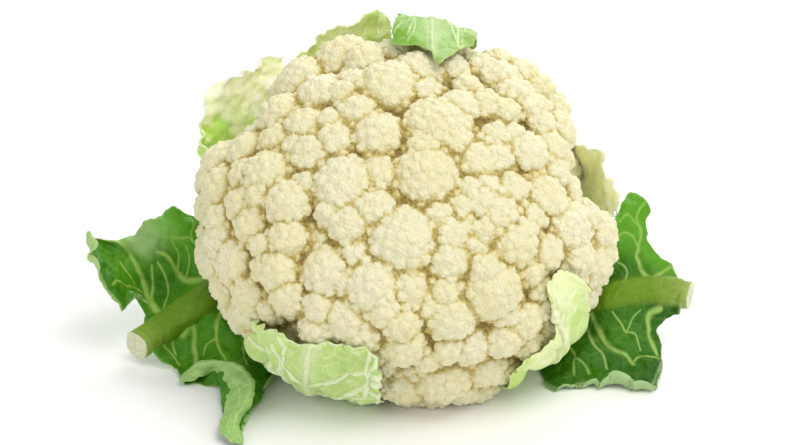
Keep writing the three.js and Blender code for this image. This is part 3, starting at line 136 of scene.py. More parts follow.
# leaf control nets, rows from the stalk outward, columns across (mm, head frame)
NETS = {
    "outerLeft": [
        [[-26.0, 2.6, -56.8], [-25.8, 1.2, -57.0], [-25.5, -0.2, -57.2], [-25.2, -1.6, -57.5], [-25.0, -3.0, -57.7], [-24.8, -4.4, -57.9], [-24.5, -5.8, -58.1], [-24.2, -7.2, -58.3], [-24.0, -8.6, -58.6], [-23.9, -8.9, -58.6], [-23.9, -9.3, -58.7]],
        [[-44.0, 6.6, -50.4], [-43.0, 3.7, -51.1], [-42.0, 0.7, -51.7], [-41.0, -2.2, -52.4], [-40.0, -5.1, -53.0], [-39.2, -8.0, -53.5], [-38.5, -10.9, -54.1], [-37.8, -13.7, -54.6], [-37.0, -16.6, -55.2], [-36.8, -17.4, -55.3], [-36.6, -18.0, -55.5]],
        [[-65.0, 10.8, -43.0], [-62.8, 5.6, -44.1], [-60.5, 0.4, -45.3], [-58.2, -4.7, -46.5], [-56.0, -9.9, -47.7], [-55.0, -15.4, -48.5], [-54.0, -20.9, -49.2], [-53.0, -26.5, -50.0], [-52.0, -32.0, -50.8], [-61.1, -68.8, -24.4], [-64.9, -76.3, -19.1]],
        [[-96.4, 17.9, -27.1], [-92.1, 7.4, -28.2], [-88.0, -1.9, -31.2], [-83.7, -12.2, -32.4], [-80.6, -16.5, -33.6], [-72.3, -29.8, -34.5], [-65.0, -41.3, -34.8], [-60.0, -55.7, -30.5], [-60.8, -73.2, -20.8], [-65.3, -83.4, -14.6], [-69.3, -100.4, -2.5]],
        [[-103.0, 22.7, -29.3], [-98.0, 11.0, -28.3], [-93.4, 1.6, -31.3], [-89.2, -9.3, -33.3], [-86.2, -22.4, -28.7], [-78.0, -33.1, -29.6], [-71.6, -44.5, -30.0], [-67.7, -61.1, -22.9], [-67.0, -78.8, -12.4], [-68.8, -87.2, -11.0], [-70.0, -102.3, -1.0]],
        [[-113.3, 14.6, -28.4], [-107.3, 7.7, -29.6], [-101.2, 0.7, -34.4], [-95.2, -9.5, -36.9], [-90.3, -26.0, -27.4], [-83.1, -35.2, -29.3], [-77.7, -43.8, -30.5], [-74.4, -55.0, -24.8], [-74.6, -72.1, -16.1], [-75.4, -83.6, -14.2], [-74.4, -97.1, -6.1]],
        [[-123.1, 6.9, -29.0], [-117.2, 1.4, -29.9], [-109.7, -5.0, -33.9], [-102.2, -13.1, -38.6], [-94.7, -28.2, -28.9], [-88.6, -34.9, -32.0], [-84.5, -41.4, -33.4], [-81.5, -49.7, -31.1], [-81.6, -60.8, -25.5], [-79.6, -65.7, -25.0], [-77.3, -69.7, -24.5]],
        [[-131.7, 3.2, -23.8], [-125.6, 1.4, -29.9], [-117.7, -6.4, -34.2], [-109.4, -14.5, -40.6], [-99.6, -30.9, -31.2], [-94.7, -37.3, -33.9], [-91.2, -42.4, -36.4], [-87.9, -48.5, -35.7], [-87.2, -58.9, -31.9], [-87.1, -61.7, -30.8], [-86.9, -64.0, -30.0]],
        [[-138.8, 0.1, -17.8], [-132.8, -2.2, -24.8], [-124.3, -8.9, -31.1], [-115.7, -17.9, -38.8], [-105.2, -34.9, -32.0], [-100.9, -39.8, -35.9], [-97.3, -44.3, -37.5], [-93.6, -49.7, -37.3], [-91.3, -58.4, -34.0], [-90.6, -60.8, -33.0], [-90.1, -62.7, -32.3]],
        [[-132.9, -14.2, -14.9], [-127.7, -14.8, -24.4], [-121.2, -18.0, -30.7], [-115.3, -23.9, -37.5], [-109.5, -37.8, -33.0], [-105.4, -43.3, -34.5], [-102.0, -47.1, -36.7], [-97.9, -51.7, -37.1], [-94.3, -59.1, -33.5], [-93.2, -61.2, -32.4], [-92.4, -62.8, -31.6]],
        [[-123.3, -31.2, -23.5], [-120.2, -25.0, -29.3], [-117.0, -18.7, -33.3], [-113.8, -21.7, -39.1], [-114.2, -40.7, -34.0], [-108.8, -45.9, -35.1], [-104.8, -49.8, -36.0], [-100.7, -54.2, -35.9], [-96.7, -60.5, -32.4], [-95.6, -62.3, -31.4], [-94.7, -63.7, -30.7]],
    ],
    "outerRight": [
        [[26.0, 0.3, -55.7], [25.8, -1.4, -56.0], [25.5, -3.2, -56.3], [25.2, -4.9, -56.6], [25.0, -6.7, -56.8], [24.8, -8.3, -56.9], [24.5, -9.9, -57.0], [24.2, -11.5, -57.1], [24.0, -13.1, -57.1]],
        [[33.0, 1.1, -52.9], [33.0, -1.0, -53.3], [33.0, -3.2, -53.7], [33.0, -5.4, -54.2], [33.0, -7.5, -54.6], [33.8, -10.7, -55.1], [34.5, -13.8, -55.6], [35.2, -17.0, -56.1], [36.0, -20.1, -56.6]],
        [[46.0, 2.3, -47.9], [45.0, -0.4, -49.0], [43.0, -3.1, -50.2], [41.0, -5.8, -51.3], [40.0, -8.8, -52.2], [46.0, -22.5, -53.1], [57.0, -35.7, -47.5], [59.0, -43.8, -43.3], [57.2, -49.4, -40.0]],
        [[68.0, 5.2, -38.8], [66.0, 0.8, -40.6], [63.0, -3.6, -42.4], [60.0, -8.0, -44.1], [58.0, -13.2, -45.3], [65.0, -25.5, -41.9], [72.4, -44.5, -36.2], [68.6, -52.3, -34.8], [62.8, -64.7, -29.4]],
        [[87.1, 0.1, -17.8], [86.1, -6.6, -19.1], [84.4, -12.3, -22.4], [83.2, -17.8, -27.1], [81.9, -22.8, -30.9], [80.9, -31.8, -32.4], [79.7, -42.2, -32.9], [79.4, -51.4, -33.6], [78.9, -61.9, -31.4]],
        [[93.5, 12.8, -14.8], [92.2, 2.3, -14.5], [90.8, -6.9, -17.7], [89.6, -15.0, -23.0], [88.2, -23.0, -26.4], [88.3, -33.0, -27.8], [89.5, -42.0, -31.1], [91.5, -51.4, -33.6], [93.4, -64.0, -29.9]],
        [[100.3, 23.8, -16.6], [98.6, 9.3, -14.7], [97.5, -2.9, -17.0], [96.0, -13.3, -20.5], [94.7, -21.9, -24.7], [95.5, -29.9, -28.2], [97.1, -39.3, -31.9], [99.9, -49.4, -33.8], [103.6, -64.7, -29.4]],
        [[107.5, 18.3, -21.2], [104.6, 6.5, -18.8], [102.5, -3.7, -20.0], [101.6, -11.3, -24.4], [100.6, -19.9, -26.8], [101.3, -27.4, -29.4], [103.0, -35.4, -32.8], [105.3, -45.3, -34.3], [109.5, -55.4, -33.1]],
        [[104.8, 7.0, -21.7], [105.9, -0.6, -22.3], [106.1, -7.3, -23.6], [106.5, -12.7, -26.5], [106.9, -18.7, -28.3], [107.3, -25.1, -31.1], [107.2, -31.9, -34.2], [108.5, -38.3, -36.9], [112.0, -45.8, -36.5]],
        [[110.9, -2.8, -25.6], [112.2, -6.1, -27.0], [112.9, -10.1, -27.7], [113.6, -14.9, -28.0], [114.5, -18.5, -29.7], [113.5, -23.3, -31.7], [111.9, -26.7, -34.9], [110.1, -31.0, -36.1], [109.9, -36.3, -37.2]],
        [[117.1, -6.6, -27.8], [118.4, -8.9, -29.3], [119.7, -11.8, -30.2], [120.8, -15.3, -30.2], [122.0, -19.0, -30.5], [121.0, -23.3, -31.7], [120.2, -25.8, -33.7], [118.1, -27.6, -36.1], [114.3, -28.7, -37.7]],
    ],
    "topLeft": [
        [[-22.2, 7.5, -49.5], [-21.6, 9.1, -49.5], [-20.8, 10.6, -49.5], [-20.0, 12.1, -49.5], [-19.0, 13.5, -49.5], [-17.9, 14.9, -49.5], [-16.7, 16.1, -49.5], [-15.4, 17.3, -49.5]],
        [[-30.5, 9.9, -49.3], [-30.1, 12.4, -49.3], [-29.5, 14.9, -49.3], [-28.4, 17.3, -49.3], [-27.0, 19.4, -49.3], [-25.2, 21.2, -49.3], [-23.3, 22.9, -49.3], [-21.2, 24.2, -49.3]],
        [[-40.4, 12.3, -48.1], [-40.5, 16.1, -47.9], [-40.3, 20.1, -47.7], [-38.8, 23.9, -47.6], [-36.7, 27.1, -47.6], [-33.8, 29.5, -47.7], [-30.8, 31.7, -47.8], [-27.5, 33.1, -48.0]],
        [[-52.3, 14.4, -45.4], [-52.7, 19.9, -44.7], [-52.5, 25.8, -43.9], [-50.5, 31.7, -43.5], [-47.3, 36.3, -43.5], [-43.1, 39.5, -43.9], [-38.7, 42.4, -44.2], [-34.2, 44.1, -44.9]],
        [[-64.0, 16.0, -39.9], [-64.7, 23.2, -38.4], [-64.5, 31.2, -36.7], [-61.7, 39.4, -36.0], [-57.4, 45.7, -36.0], [-51.7, 49.8, -36.7], [-45.8, 53.3, -37.5], [-39.9, 55.2, -38.9]],
        [[-74.3, 17.1, -32.4], [-74.6, 25.8, -30.0], [-74.1, 35.4, -27.3], [-70.6, 45.7, -26.1], [-65.3, 53.4, -26.1], [-58.4, 58.3, -27.3], [-51.3, 62.6, -28.5], [-44.5, 65.0, -30.8]],
        [[-81.8, 18.2, -23.0], [-81.9, 27.7, -19.7], [-81.1, 38.5, -16.2], [-77.7, 50.5, -14.5], [-71.9, 59.4, -14.5], [-64.2, 64.9, -16.2], [-56.2, 69.8, -17.9], [-48.8, 72.6, -21.0]],
        [[-86.9, 19.2, -12.7], [-86.6, 29.3, -8.5], [-85.9, 40.7, -4.2], [-82.8, 53.8, -2.3], [-77.2, 63.7, -2.3], [-68.9, 69.7, -4.2], [-60.5, 75.2, -6.2], [-52.9, 78.5, -10.1]],
        [[-89.8, 19.8, -2.0], [-89.0, 30.1, 2.0], [-88.3, 41.9, 6.0], [-86.1, 55.9, 8.0], [-80.7, 66.7, 8.0], [-72.2, 73.1, 6.0], [-63.6, 79.0, 4.0], [-55.9, 83.0, 0.0]],
    ],
    "top": [
        [[-12.8, 19.3, -49.5], [-11.6, 20.0, -49.5], [-10.4, 20.6, -49.5], [-9.1, 21.2, -49.5], [-7.8, 21.7, -49.5], [-6.4, 22.1, -49.5], [-5.1, 22.4, -49.5], [-3.7, 22.7, -49.5]],
        [[-17.5, 26.4, -49.3], [-16.1, 27.8, -49.3], [-14.5, 29.1, -49.3], [-12.7, 30.1, -49.3], [-10.8, 30.7, -49.3], [-8.9, 31.4, -49.3], [-6.9, 31.6, -49.3], [-4.9, 31.8, -49.3]],
        [[-22.7, 35.1, -48.2], [-21.1, 37.5, -47.9], [-19.2, 39.7, -47.7], [-16.7, 41.3, -47.6], [-13.9, 42.1, -47.6], [-11.2, 43.1, -47.6], [-8.3, 43.2, -47.7], [-5.9, 43.0, -47.8]],
        [[-28.6, 45.7, -45.6], [-26.4, 49.0, -44.6], [-23.9, 52.0, -43.9], [-20.4, 54.1, -43.5], [-16.5, 55.1, -43.5], [-12.9, 56.4, -43.5], [-9.0, 56.5, -43.9], [-6.3, 55.8, -44.2]],
        [[-34.1, 56.3, -40.3], [-31.2, 60.2, -38.3], [-28.1, 64.1, -36.7], [-23.4, 66.5, -36.0], [-18.2, 67.6, -36.0], [-13.7, 69.4, -36.0], [-8.8, 69.5, -36.7], [-6.1, 68.4, -37.5]],
        [[-38.9, 65.7, -33.0], [-35.0, 69.7, -29.8], [-31.2, 73.9, -27.3], [-25.4, 76.5, -26.1], [-19.2, 77.6, -26.1], [-13.8, 80.0, -26.1], [-8.1, 80.2, -27.3], [-5.5, 78.8, -28.5]],
        [[-43.2, 73.2, -23.9], [-38.4, 77.1, -19.5], [-34.1, 82.0, -16.2], [-27.5, 84.6, -14.5], [-20.4, 85.6, -14.5], [-14.6, 89.0, -14.6], [-8.2, 89.4, -16.2], [-5.5, 87.6, -17.9]],
        [[-46.9, 79.6, -14.0], [-41.3, 82.9, -8.2], [-36.6, 88.1, -4.2], [-29.5, 90.7, -2.3], [-21.8, 91.5, -2.3], [-15.7, 96.0, -2.3], [-8.9, 96.8, -4.2], [-5.9, 94.7, -6.2]],
        [[-49.8, 84.4, -4.0], [-43.4, 87.0, 2.0], [-38.4, 92.4, 6.0], [-30.8, 94.8, 8.0], [-22.8, 95.4, 8.0], [-16.6, 101.2, 8.0], [-9.4, 102.5, 6.0], [-6.3, 100.0, 4.0]],
    ],
    "topFolded": [
        [[2.5, 22.8, -49.5], [4.1, 22.6, -49.5], [5.7, 22.3, -49.5], [7.3, 21.8, -49.5], [8.8, 21.3, -49.5], [10.3, 20.6, -49.5]],
        [[3.2, 33.6, -49.2], [5.6, 33.5, -49.2], [8.0, 33.2, -49.1], [10.4, 32.5, -49.1], [12.7, 31.6, -49.2], [14.8, 30.3, -49.2]],
        [[3.0, 47.5, -46.9], [6.1, 47.6, -46.7], [9.4, 47.4, -46.6], [13.1, 46.6, -46.6], [16.6, 45.1, -46.7], [19.6, 43.0, -47.0]],
        [[1.5, 62.3, -41.1], [5.0, 62.5, -40.6], [9.3, 62.5, -40.3], [14.3, 61.7, -40.3], [19.4, 59.6, -40.6], [23.6, 56.8, -41.4]],
        [[-0.9, 75.6, -31.7], [2.8, 75.5, -30.6], [7.8, 75.5, -30.1], [14.2, 74.8, -30.1], [20.8, 72.3, -30.6], [26.3, 69.3, -32.2]],
        [[-2.6, 86.1, -19.5], [1.2, 85.4, -18.0], [6.7, 85.3, -17.2], [14.2, 84.7, -17.2], [21.9, 81.6, -17.9], [28.4, 78.3, -20.3]],
        [[-3.0, 94.5, -5.9], [1.3, 92.8, -3.9], [7.2, 92.5, -3.0], [15.3, 91.9, -3.0], [23.5, 88.0, -3.9], [30.7, 84.9, -6.9]],
        [[-3.1, 100.3, 6.0], [1.3, 97.5, 8.0], [7.6, 96.8, 9.0], [16.1, 96.3, 9.0], [24.5, 91.7, 8.0], [32.1, 88.8, 5.0]],
        [[-4.5, 78.4, 36.0], [0.8, 76.6, 37.3], [7.9, 75.3, 38.6], [15.3, 69.4, 40.7], [23.2, 72.1, 37.3], [30.5, 74.7, 32.0]],
        [[-5.5, 60.5, 47.9], [0.4, 59.5, 48.6], [8.1, 57.6, 50.0], [14.8, 47.3, 53.9], [22.1, 56.0, 48.6], [29.2, 63.1, 41.3]],
    ],
    "right": [
        [[14.1, 18.3, -49.5], [15.8, 17.0, -49.5], [17.4, 15.5, -49.5], [18.8, 13.8, -49.5], [20.0, 12.1, -49.5], [21.1, 10.2, -49.5], [21.9, 8.2, -49.5]],
        [[20.1, 24.9, -49.3], [22.6, 23.0, -49.3], [25.0, 21.0, -49.3], [27.2, 19.0, -49.3], [28.8, 16.3, -49.3], [30.0, 13.5, -49.3], [30.7, 10.7, -49.3]],
        [[28.2, 31.8, -47.9], [31.8, 28.8, -47.8], [35.3, 26.2, -47.7], [38.4, 23.7, -47.5], [40.3, 19.8, -47.6], [41.5, 15.7, -47.7], [41.7, 11.9, -47.9]],
        [[38.5, 38.5, -44.7], [43.4, 33.9, -44.3], [48.0, 30.0, -43.9], [51.8, 27.1, -43.4], [54.0, 21.7, -43.6], [55.1, 16.2, -44.1], [54.8, 11.5, -44.7]],
        [[49.4, 43.8, -38.5], [55.2, 37.0, -37.7], [60.7, 31.9, -36.8], [65.1, 28.6, -35.8], [67.4, 21.7, -36.3], [68.3, 14.8, -37.2], [67.5, 9.4, -38.5]],
        [[58.6, 47.6, -30.1], [64.7, 38.6, -28.9], [70.5, 32.1, -27.4], [75.2, 28.6, -25.9], [77.7, 20.6, -26.6], [78.6, 12.6, -28.0], [77.9, 6.8, -30.1]],
        [[64.7, 50.6, -19.9], [70.4, 40.1, -18.3], [76.3, 32.8, -16.3], [81.5, 29.3, -14.3], [84.2, 20.5, -15.3], [85.4, 11.9, -17.2], [85.0, 5.9, -19.9]],
        [[67.9, 52.9, -8.6], [72.8, 41.3, -6.5], [78.5, 33.7, -4.3], [84.3, 30.2, -2.1], [87.2, 21.2, -3.2], [89.0, 12.4, -5.3], [89.4, 6.2, -8.6]],
        [[69.2, 53.9, 2.0], [72.7, 41.2, 4.0], [78.0, 33.5, 6.0], [84.3, 30.2, 8.0], [87.5, 21.3, 7.0], [89.9, 12.5, 5.0], [91.2, 6.3, 2.0]],
    ],
    "lowerRight": [
        [[19.9, -12.2, -49.5], [19.3, -13.1, -49.5], [18.6, -14.0, -49.5], [17.9, -14.8, -49.5], [17.2, -15.7, -49.5], [16.4, -16.4, -49.5], [15.6, -17.2, -49.5], [14.7, -17.9, -49.5], [13.8, -18.6, -49.5]],
        [[30.5, -18.3, -48.8], [31.0, -20.6, -48.6], [30.3, -22.5, -48.5], [28.6, -23.4, -48.6], [26.3, -23.6, -48.8], [24.3, -23.9, -49.0], [22.5, -24.5, -49.1], [20.9, -25.4, -49.1], [19.4, -26.2, -49.1]],
        [[44.5, -25.8, -45.0], [46.5, -29.9, -43.5], [45.4, -33.4, -43.0], [42.3, -34.5, -43.7], [38.2, -33.7, -45.0], [34.7, -33.1, -46.0], [31.3, -33.4, -46.5], [28.5, -34.5, -46.8], [25.9, -35.6, -46.9]],
        [[57.7, -32.2, -37.5], [60.1, -37.3, -33.8], [57.9, -42.5, -32.5], [53.9, -44.0, -34.2], [49.3, -42.7, -37.5], [45.3, -41.6, -39.9], [40.7, -42.5, -41.3], [36.5, -44.2, -42.0], [32.5, -45.9, -42.4]],
        [[67.2, -37.1, -26.3], [69.2, -42.7, -19.6], [65.5, -49.5, -17.4], [61.2, -51.4, -20.3], [56.8, -49.8, -26.3], [52.8, -48.4, -30.7], [47.1, -49.8, -33.4], [41.4, -52.5, -34.6], [36.0, -54.9, -35.4]],
        [[73.8, -40.4, -12.5], [74.0, -45.6, -3.8], [68.6, -53.3, -1.3], [64.8, -55.9, -4.8], [62.0, -54.8, -12.6], [58.9, -53.5, -18.7], [52.6, -55.8, -22.7], [45.5, -59.3, -24.7], [38.9, -62.4, -26.0]],
        [[77.2, -42.1, 1.1], [74.3, -45.7, 9.9], [67.9, -53.2, 12.5], [65.0, -56.6, 8.9], [64.8, -57.2, 1.1], [63.1, -56.8, -5.8], [57.0, -60.0, -10.9], [49.4, -64.2, -13.3], [42.1, -67.9, -15.0]],
        [[76.6, -41.8, 13.0], [71.4, -44.0, 22.4], [64.5, -50.8, 25.3], [62.6, -54.6, 21.3], [64.2, -56.7, 12.9], [64.3, -57.8, 5.9], [59.3, -62.2, 0.8], [51.8, -67.0, -1.7], [44.4, -71.1, -3.6]],
        [[73.5, -40.2, 24.2], [66.3, -41.3, 34.1], [59.0, -47.0, 36.8], [58.2, -51.4, 32.9], [61.5, -54.5, 24.0], [63.1, -56.8, 16.5], [59.1, -62.0, 11.0], [52.0, -67.2, 8.4], [44.9, -71.8, 6.5]],
    ],
    "lowerLeft": [
        [[-18.0, -14.8, -49.5], [-17.2, -15.7, -49.5], [-16.3, -16.6, -49.5], [-15.3, -17.4, -49.5], [-14.3, -18.2, -49.5], [-13.3, -18.9, -49.5], [-12.2, -19.6, -49.5], [-11.1, -20.2, -49.5], [-10.0, -20.8, -49.5], [-8.8, -21.3, -49.5]],
        [[-27.1, -21.9, -48.9], [-26.3, -23.9, -48.8], [-25.4, -26.1, -48.7], [-23.4, -27.0, -48.8], [-21.8, -28.0, -48.8], [-20.4, -29.5, -48.7], [-18.7, -30.9, -48.7], [-17.0, -32.3, -48.6], [-14.6, -31.9, -48.8], [-12.2, -30.8, -49.0]],
        [[-38.8, -30.8, -45.5], [-37.9, -34.8, -44.8], [-36.6, -38.9, -44.0], [-33.1, -39.9, -44.5], [-30.5, -41.2, -44.7], [-28.3, -43.8, -44.3], [-25.4, -46.1, -44.1], [-22.4, -48.5, -43.6], [-18.5, -46.9, -44.8], [-14.8, -43.1, -46.4]],
        [[-50.2, -39.1, -38.8], [-48.1, -44.9, -37.1], [-45.4, -50.7, -34.9], [-40.6, -52.2, -36.3], [-37.1, -53.6, -36.7], [-33.6, -56.9, -35.7], [-28.7, -60.0, -35.1], [-23.7, -63.1, -34.0], [-18.9, -61.0, -36.9], [-15.5, -55.9, -40.9]],
        [[-59.8, -45.7, -28.6], [-56.0, -53.3, -25.4], [-51.4, -60.7, -21.5], [-45.4, -62.7, -24.0], [-41.3, -64.2, -24.8], [-36.2, -67.9, -23.0], [-29.0, -71.5, -21.8], [-21.7, -74.8, -20.0], [-16.6, -72.6, -25.1], [-14.1, -66.8, -32.7]],
        [[-62.0, -52.4, -18.2], [-59.4, -59.3, -11.3], [-54.5, -67.4, -6.1], [-48.0, -70.2, -9.4], [-43.4, -71.6, -10.5], [-36.9, -75.1, -8.2], [-27.8, -78.8, -6.7], [-18.5, -81.6, -4.3], [-13.4, -80.4, -11.0], [-12.2, -75.5, -21.6]],
        [[-62.0, -55.2, -4.7], [-59.2, -62.8, 1.4], [-55.1, -69.4, 7.8], [-49.1, -73.4, 4.5], [-44.2, -74.9, 3.2], [-36.7, -77.5, 5.5], [-26.8, -80.6, 6.9], [-16.8, -82.5, 9.3], [-12.1, -83.8, 2.7], [-11.7, -81.0, -9.4]],
        [[-62.3, -55.7, 6.5], [-58.9, -62.6, 12.8], [-53.8, -69.3, 18.4], [-48.5, -72.6, 16.8], [-43.6, -73.9, 15.3], [-35.9, -75.6, 17.7], [-26.0, -78.2, 19.2], [-16.2, -79.5, 21.7], [-12.0, -82.7, 14.6], [-12.1, -83.5, 2.3]],
        [[-61.6, -54.6, 16.7], [-57.1, -61.4, 22.5], [-51.1, -67.4, 28.1], [-46.6, -71.6, 26.0], [-41.8, -70.9, 26.7], [-33.9, -71.8, 29.1], [-24.4, -74.0, 30.7], [-15.0, -74.5, 33.2], [-11.4, -79.2, 25.9], [-11.9, -82.8, 12.6]],
    ],
}

# veins of the outer leaves: (row, column) fractions, half widths at both ends (mm)
VEINS = {
    'outerLeft': [
        ([[0.361, 0.331], [0.465, 0.318], [0.522, 0.301], [0.542, 0.261], [0.538, 0.217], [0.538, 0.177], [0.555, 0.144]], 2.0, 0.8),
        ([[0.779, 0.355], [0.773, 0.314], [0.722, 0.241], [0.686, 0.164], [0.652, 0.08], [0.649, 0.01], [0.699, 0.0]], 1.6, 0.9),
        ([[0.776, 0.351], [0.759, 0.318], [0.682, 0.258], [0.615, 0.184]], 1.0, 0.5),
        ([[0.739, 0.355], [0.656, 0.318], [0.602, 0.254], [0.582, 0.184]], 0.6, 0.3),
        ([[0.291, 0.194], [0.308, 0.167], [0.338, 0.137], [0.431, 0.137], [0.485, 0.11]], 0.8, 0.35),
        ([[0.338, 0.137], [0.298, 0.047], [0.298, 0.0]], 0.35, 0.2),
        ([[0.538, 0.254], [0.492, 0.197], [0.478, 0.13]], 0.4, 0.25),
        ([[0.525, 0.298], [0.458, 0.241], [0.431, 0.171]], 0.35, 0.2),
        ([[0.732, 0.498], [0.639, 0.458], [0.709, 0.589], [0.756, 0.712], [0.783, 0.779]], 1.6, 0.9),
        ([[0.381, 0.468], [0.468, 0.495], [0.555, 0.579], [0.569, 0.659], [0.538, 0.716]], 1.1, 0.5),
        ([[0.308, 0.498], [0.365, 0.562], [0.398, 0.629], [0.401, 0.679]], 0.6, 0.3),
        ([[0.548, 0.579], [0.635, 0.619], [0.692, 0.679]], 0.4, 0.25),
        ([[0.763, 0.164], [0.776, 0.207], [0.789, 0.251]], 0.5, 0.25),
        ([[0.783, 0.281], [0.873, 0.197], [0.943, 0.033]], 0.4, 0.2),
        ([[0.736, 0.445], [0.819, 0.505], [0.86, 0.612]], 0.8, 0.4),
        ([[0.896, 0.495], [0.883, 0.569], [0.9, 0.699]], 0.7, 0.4),
        ([[0.458, 0.722], [0.472, 0.809], [0.468, 0.896], [0.441, 0.963]], 0.8, 0.35),
        ([[0.408, 0.729], [0.401, 0.799], [0.401, 0.933]], 0.5, 0.25),
    ],
    'outerRight': [
        ([[0.388, 0.542], [0.428, 0.639], [0.468, 0.736], [0.498, 0.796], [0.552, 0.846], [0.582, 0.9]], 1.7, 0.9),
        ([[0.585, 0.89], [0.632, 0.88], [0.709, 0.926], [0.759, 0.983]], 0.6, 0.35),
        ([[0.388, 0.555], [0.391, 0.669], [0.428, 0.773], [0.455, 0.826], [0.462, 0.916]], 0.9, 0.4),
        ([[0.793, 0.405], [0.726, 0.355], [0.679, 0.294], [0.696, 0.241], [0.679, 0.154], [0.642, 0.1], [0.666, 0.023]], 1.5, 0.5),
        ([[0.846, 0.365], [0.906, 0.258], [0.99, 0.06]], 1.3, 0.8),
        ([[0.528, 0.599], [0.572, 0.682], [0.589, 0.726], [0.645, 0.766], [0.656, 0.853]], 0.5, 0.3),
        ([[0.288, 0.716], [0.328, 0.809], [0.358, 0.943]], 0.7, 0.35),
        ([[0.328, 0.809], [0.388, 0.886], [0.405, 0.95]], 0.4, 0.2),
        ([[0.87, 0.679], [0.793, 0.689], [0.766, 0.789], [0.759, 0.886], [0.756, 0.95]], 1.6, 1.1),
        ([[0.682, 0.231], [0.569, 0.181], [0.515, 0.174]], 0.35, 0.2),
        ([[0.652, 0.144], [0.575, 0.104], [0.525, 0.097]], 0.35, 0.2),
        ([[0.418, 0.391], [0.495, 0.348], [0.421, 0.181]], 0.4, 0.2),
        ([[0.595, 0.465], [0.609, 0.378], [0.542, 0.318]], 0.4, 0.2),
        ([[0.719, 0.642], [0.656, 0.676], [0.605, 0.726]], 0.4, 0.25),
    ],
}

# ------------------------------------------------------------------- helpers


def waves(P, scale, seed, n=14):
    """Smooth noise, about -1..1, at points P (mm); scale is its wavelength."""
    rng = np.random.default_rng(seed)
    out = np.zeros(P.shape[:-1])
    for _ in range(n):
        k = rng.normal(size=3)
        k *= (2 * math.pi / scale) * rng.uniform(0.6, 1.5) / np.linalg.norm(k)
        out += np.sin(P @ k + rng.uniform(0, 6.283))
    return out / math.sqrt(n) * 0.9


def smooth(e0, e1, x):
    t = np.clip((x - e0) / (e1 - e0), 0, 1)
    return t * t * (3 - 2 * t)


def catmull(P, t):
    P = np.asarray(P, float)
    n = len(P)
    t = np.clip(np.asarray(t, float), 0, n - 1)
    i = np.minimum(t.astype(int), n - 2)
    f = (t - i).reshape((-1,) + (1,) * (P.ndim - 1))
    ext = np.concatenate([[2 * P[0] - P[1]], P, [2 * P[-1] - P[-2]]])
    a, b, c, d = ext[i], ext[i + 1], ext[i + 2], ext[i + 3]
    return b + 0.5 * f * (c - a + f * (2 * a - 5 * b + 4 * c - d + f * (3 * (b - c) + d - a)))


def surface(G, u, v):
    """Points of the net at the grid of fractions u x v."""
    a = catmull(G, u * (G.shape[0] - 1))
    return catmull(a.transpose(1, 0, 2), v * (G.shape[1] - 1)).transpose(1, 0, 2)


def normals_of(P):
    du = np.gradient(P, axis=0)
    dv = np.gradient(P, axis=1)
    n = np.cross(du, dv)
    return n / np.maximum(np.linalg.norm(n, axis=2, keepdims=True), 1e-9)


def segment_distance(Q, line, w0, w1):
    """Signed closeness of points Q to a polyline with tapering half width: distance and width there."""
    best = np.full(len(Q), 1e9)
    width = np.zeros(len(Q))
    lens = np.linalg.norm(np.diff(line, axis=0), axis=1)
    total = max(lens.sum(), 1e-6)
    run = 0.0
    for k in range(len(line) - 1):
        a, b = line[k], line[k + 1]
        ab = b - a
        t = np.clip(((Q - a) @ ab) / max(ab @ ab, 1e-9), 0, 1)
        d = np.linalg.norm(Q - (a + t[:, None] * ab), axis=1)
        w = w0 + (w1 - w0) * (run + t * lens[k]) / total
        m = d / w < best / np.maximum(width, 1e-6) if width.any() else d < best
        m = (d < best)
        best = np.where(m, d, best)
        width = np.where(m, w, width)
        run += lens[k]
    return best, width


FLORET_W = place(FLORETS[:, :3])
FLORET_R = FLORETS[:, 3]
# each floret is a broad low dome: wider than its tip is round
_out = FLORETS[:, :3] / np.array([90.0, 82.0, np.inf]) ** 2
_out[:, 2] = FLORETS[:, 2] / np.where(FLORETS[:, 2] > 0, 58.0, 50.0) ** 2
_out /= np.linalg.norm(_out, axis=1, keepdims=True)
DOME_R = FLORET_R * 1.26 + 1.2
DOME_W = place(FLORETS[:, :3] - _out * (DOME_R - FLORET_R)[:, None] * 0.93)


def off_florets(P, gap, low):
    sh = P.shape
    Q = P.reshape(-1, 3).copy()
    gap = np.broadcast_to(np.asarray(gap, float), sh[:-1]).reshape(-1)
    low = np.broadcast_to(np.asarray(low, float), sh[:-1]).reshape(-1)
    for _ in range(7):
        near = np.linalg.norm(Q - OFFSET, axis=1) < 118
        idx = np.where(near)[0]
        moved = 0
        for s in range(0, len(idx), 20000):
            ii = idx[s:s + 20000]
            D = Q[ii][:, None] - FLORET_W[None]
            n = np.linalg.norm(D, axis=2)
            pen = FLORET_R[None] + gap[ii][:, None] - n
            k = pen.argmax(1)
            r = np.arange(len(ii))
            p = pen[r, k]
            m = p > 0
            Q[ii[m]] += D[r, k][m] / n[r, k][m][:, None] * p[m][:, None]
            moved += m.sum()
        if not moved:
            break
    Q[:, 2] = np.maximum(Q[:, 2], low)
    return Q.reshape(sh)


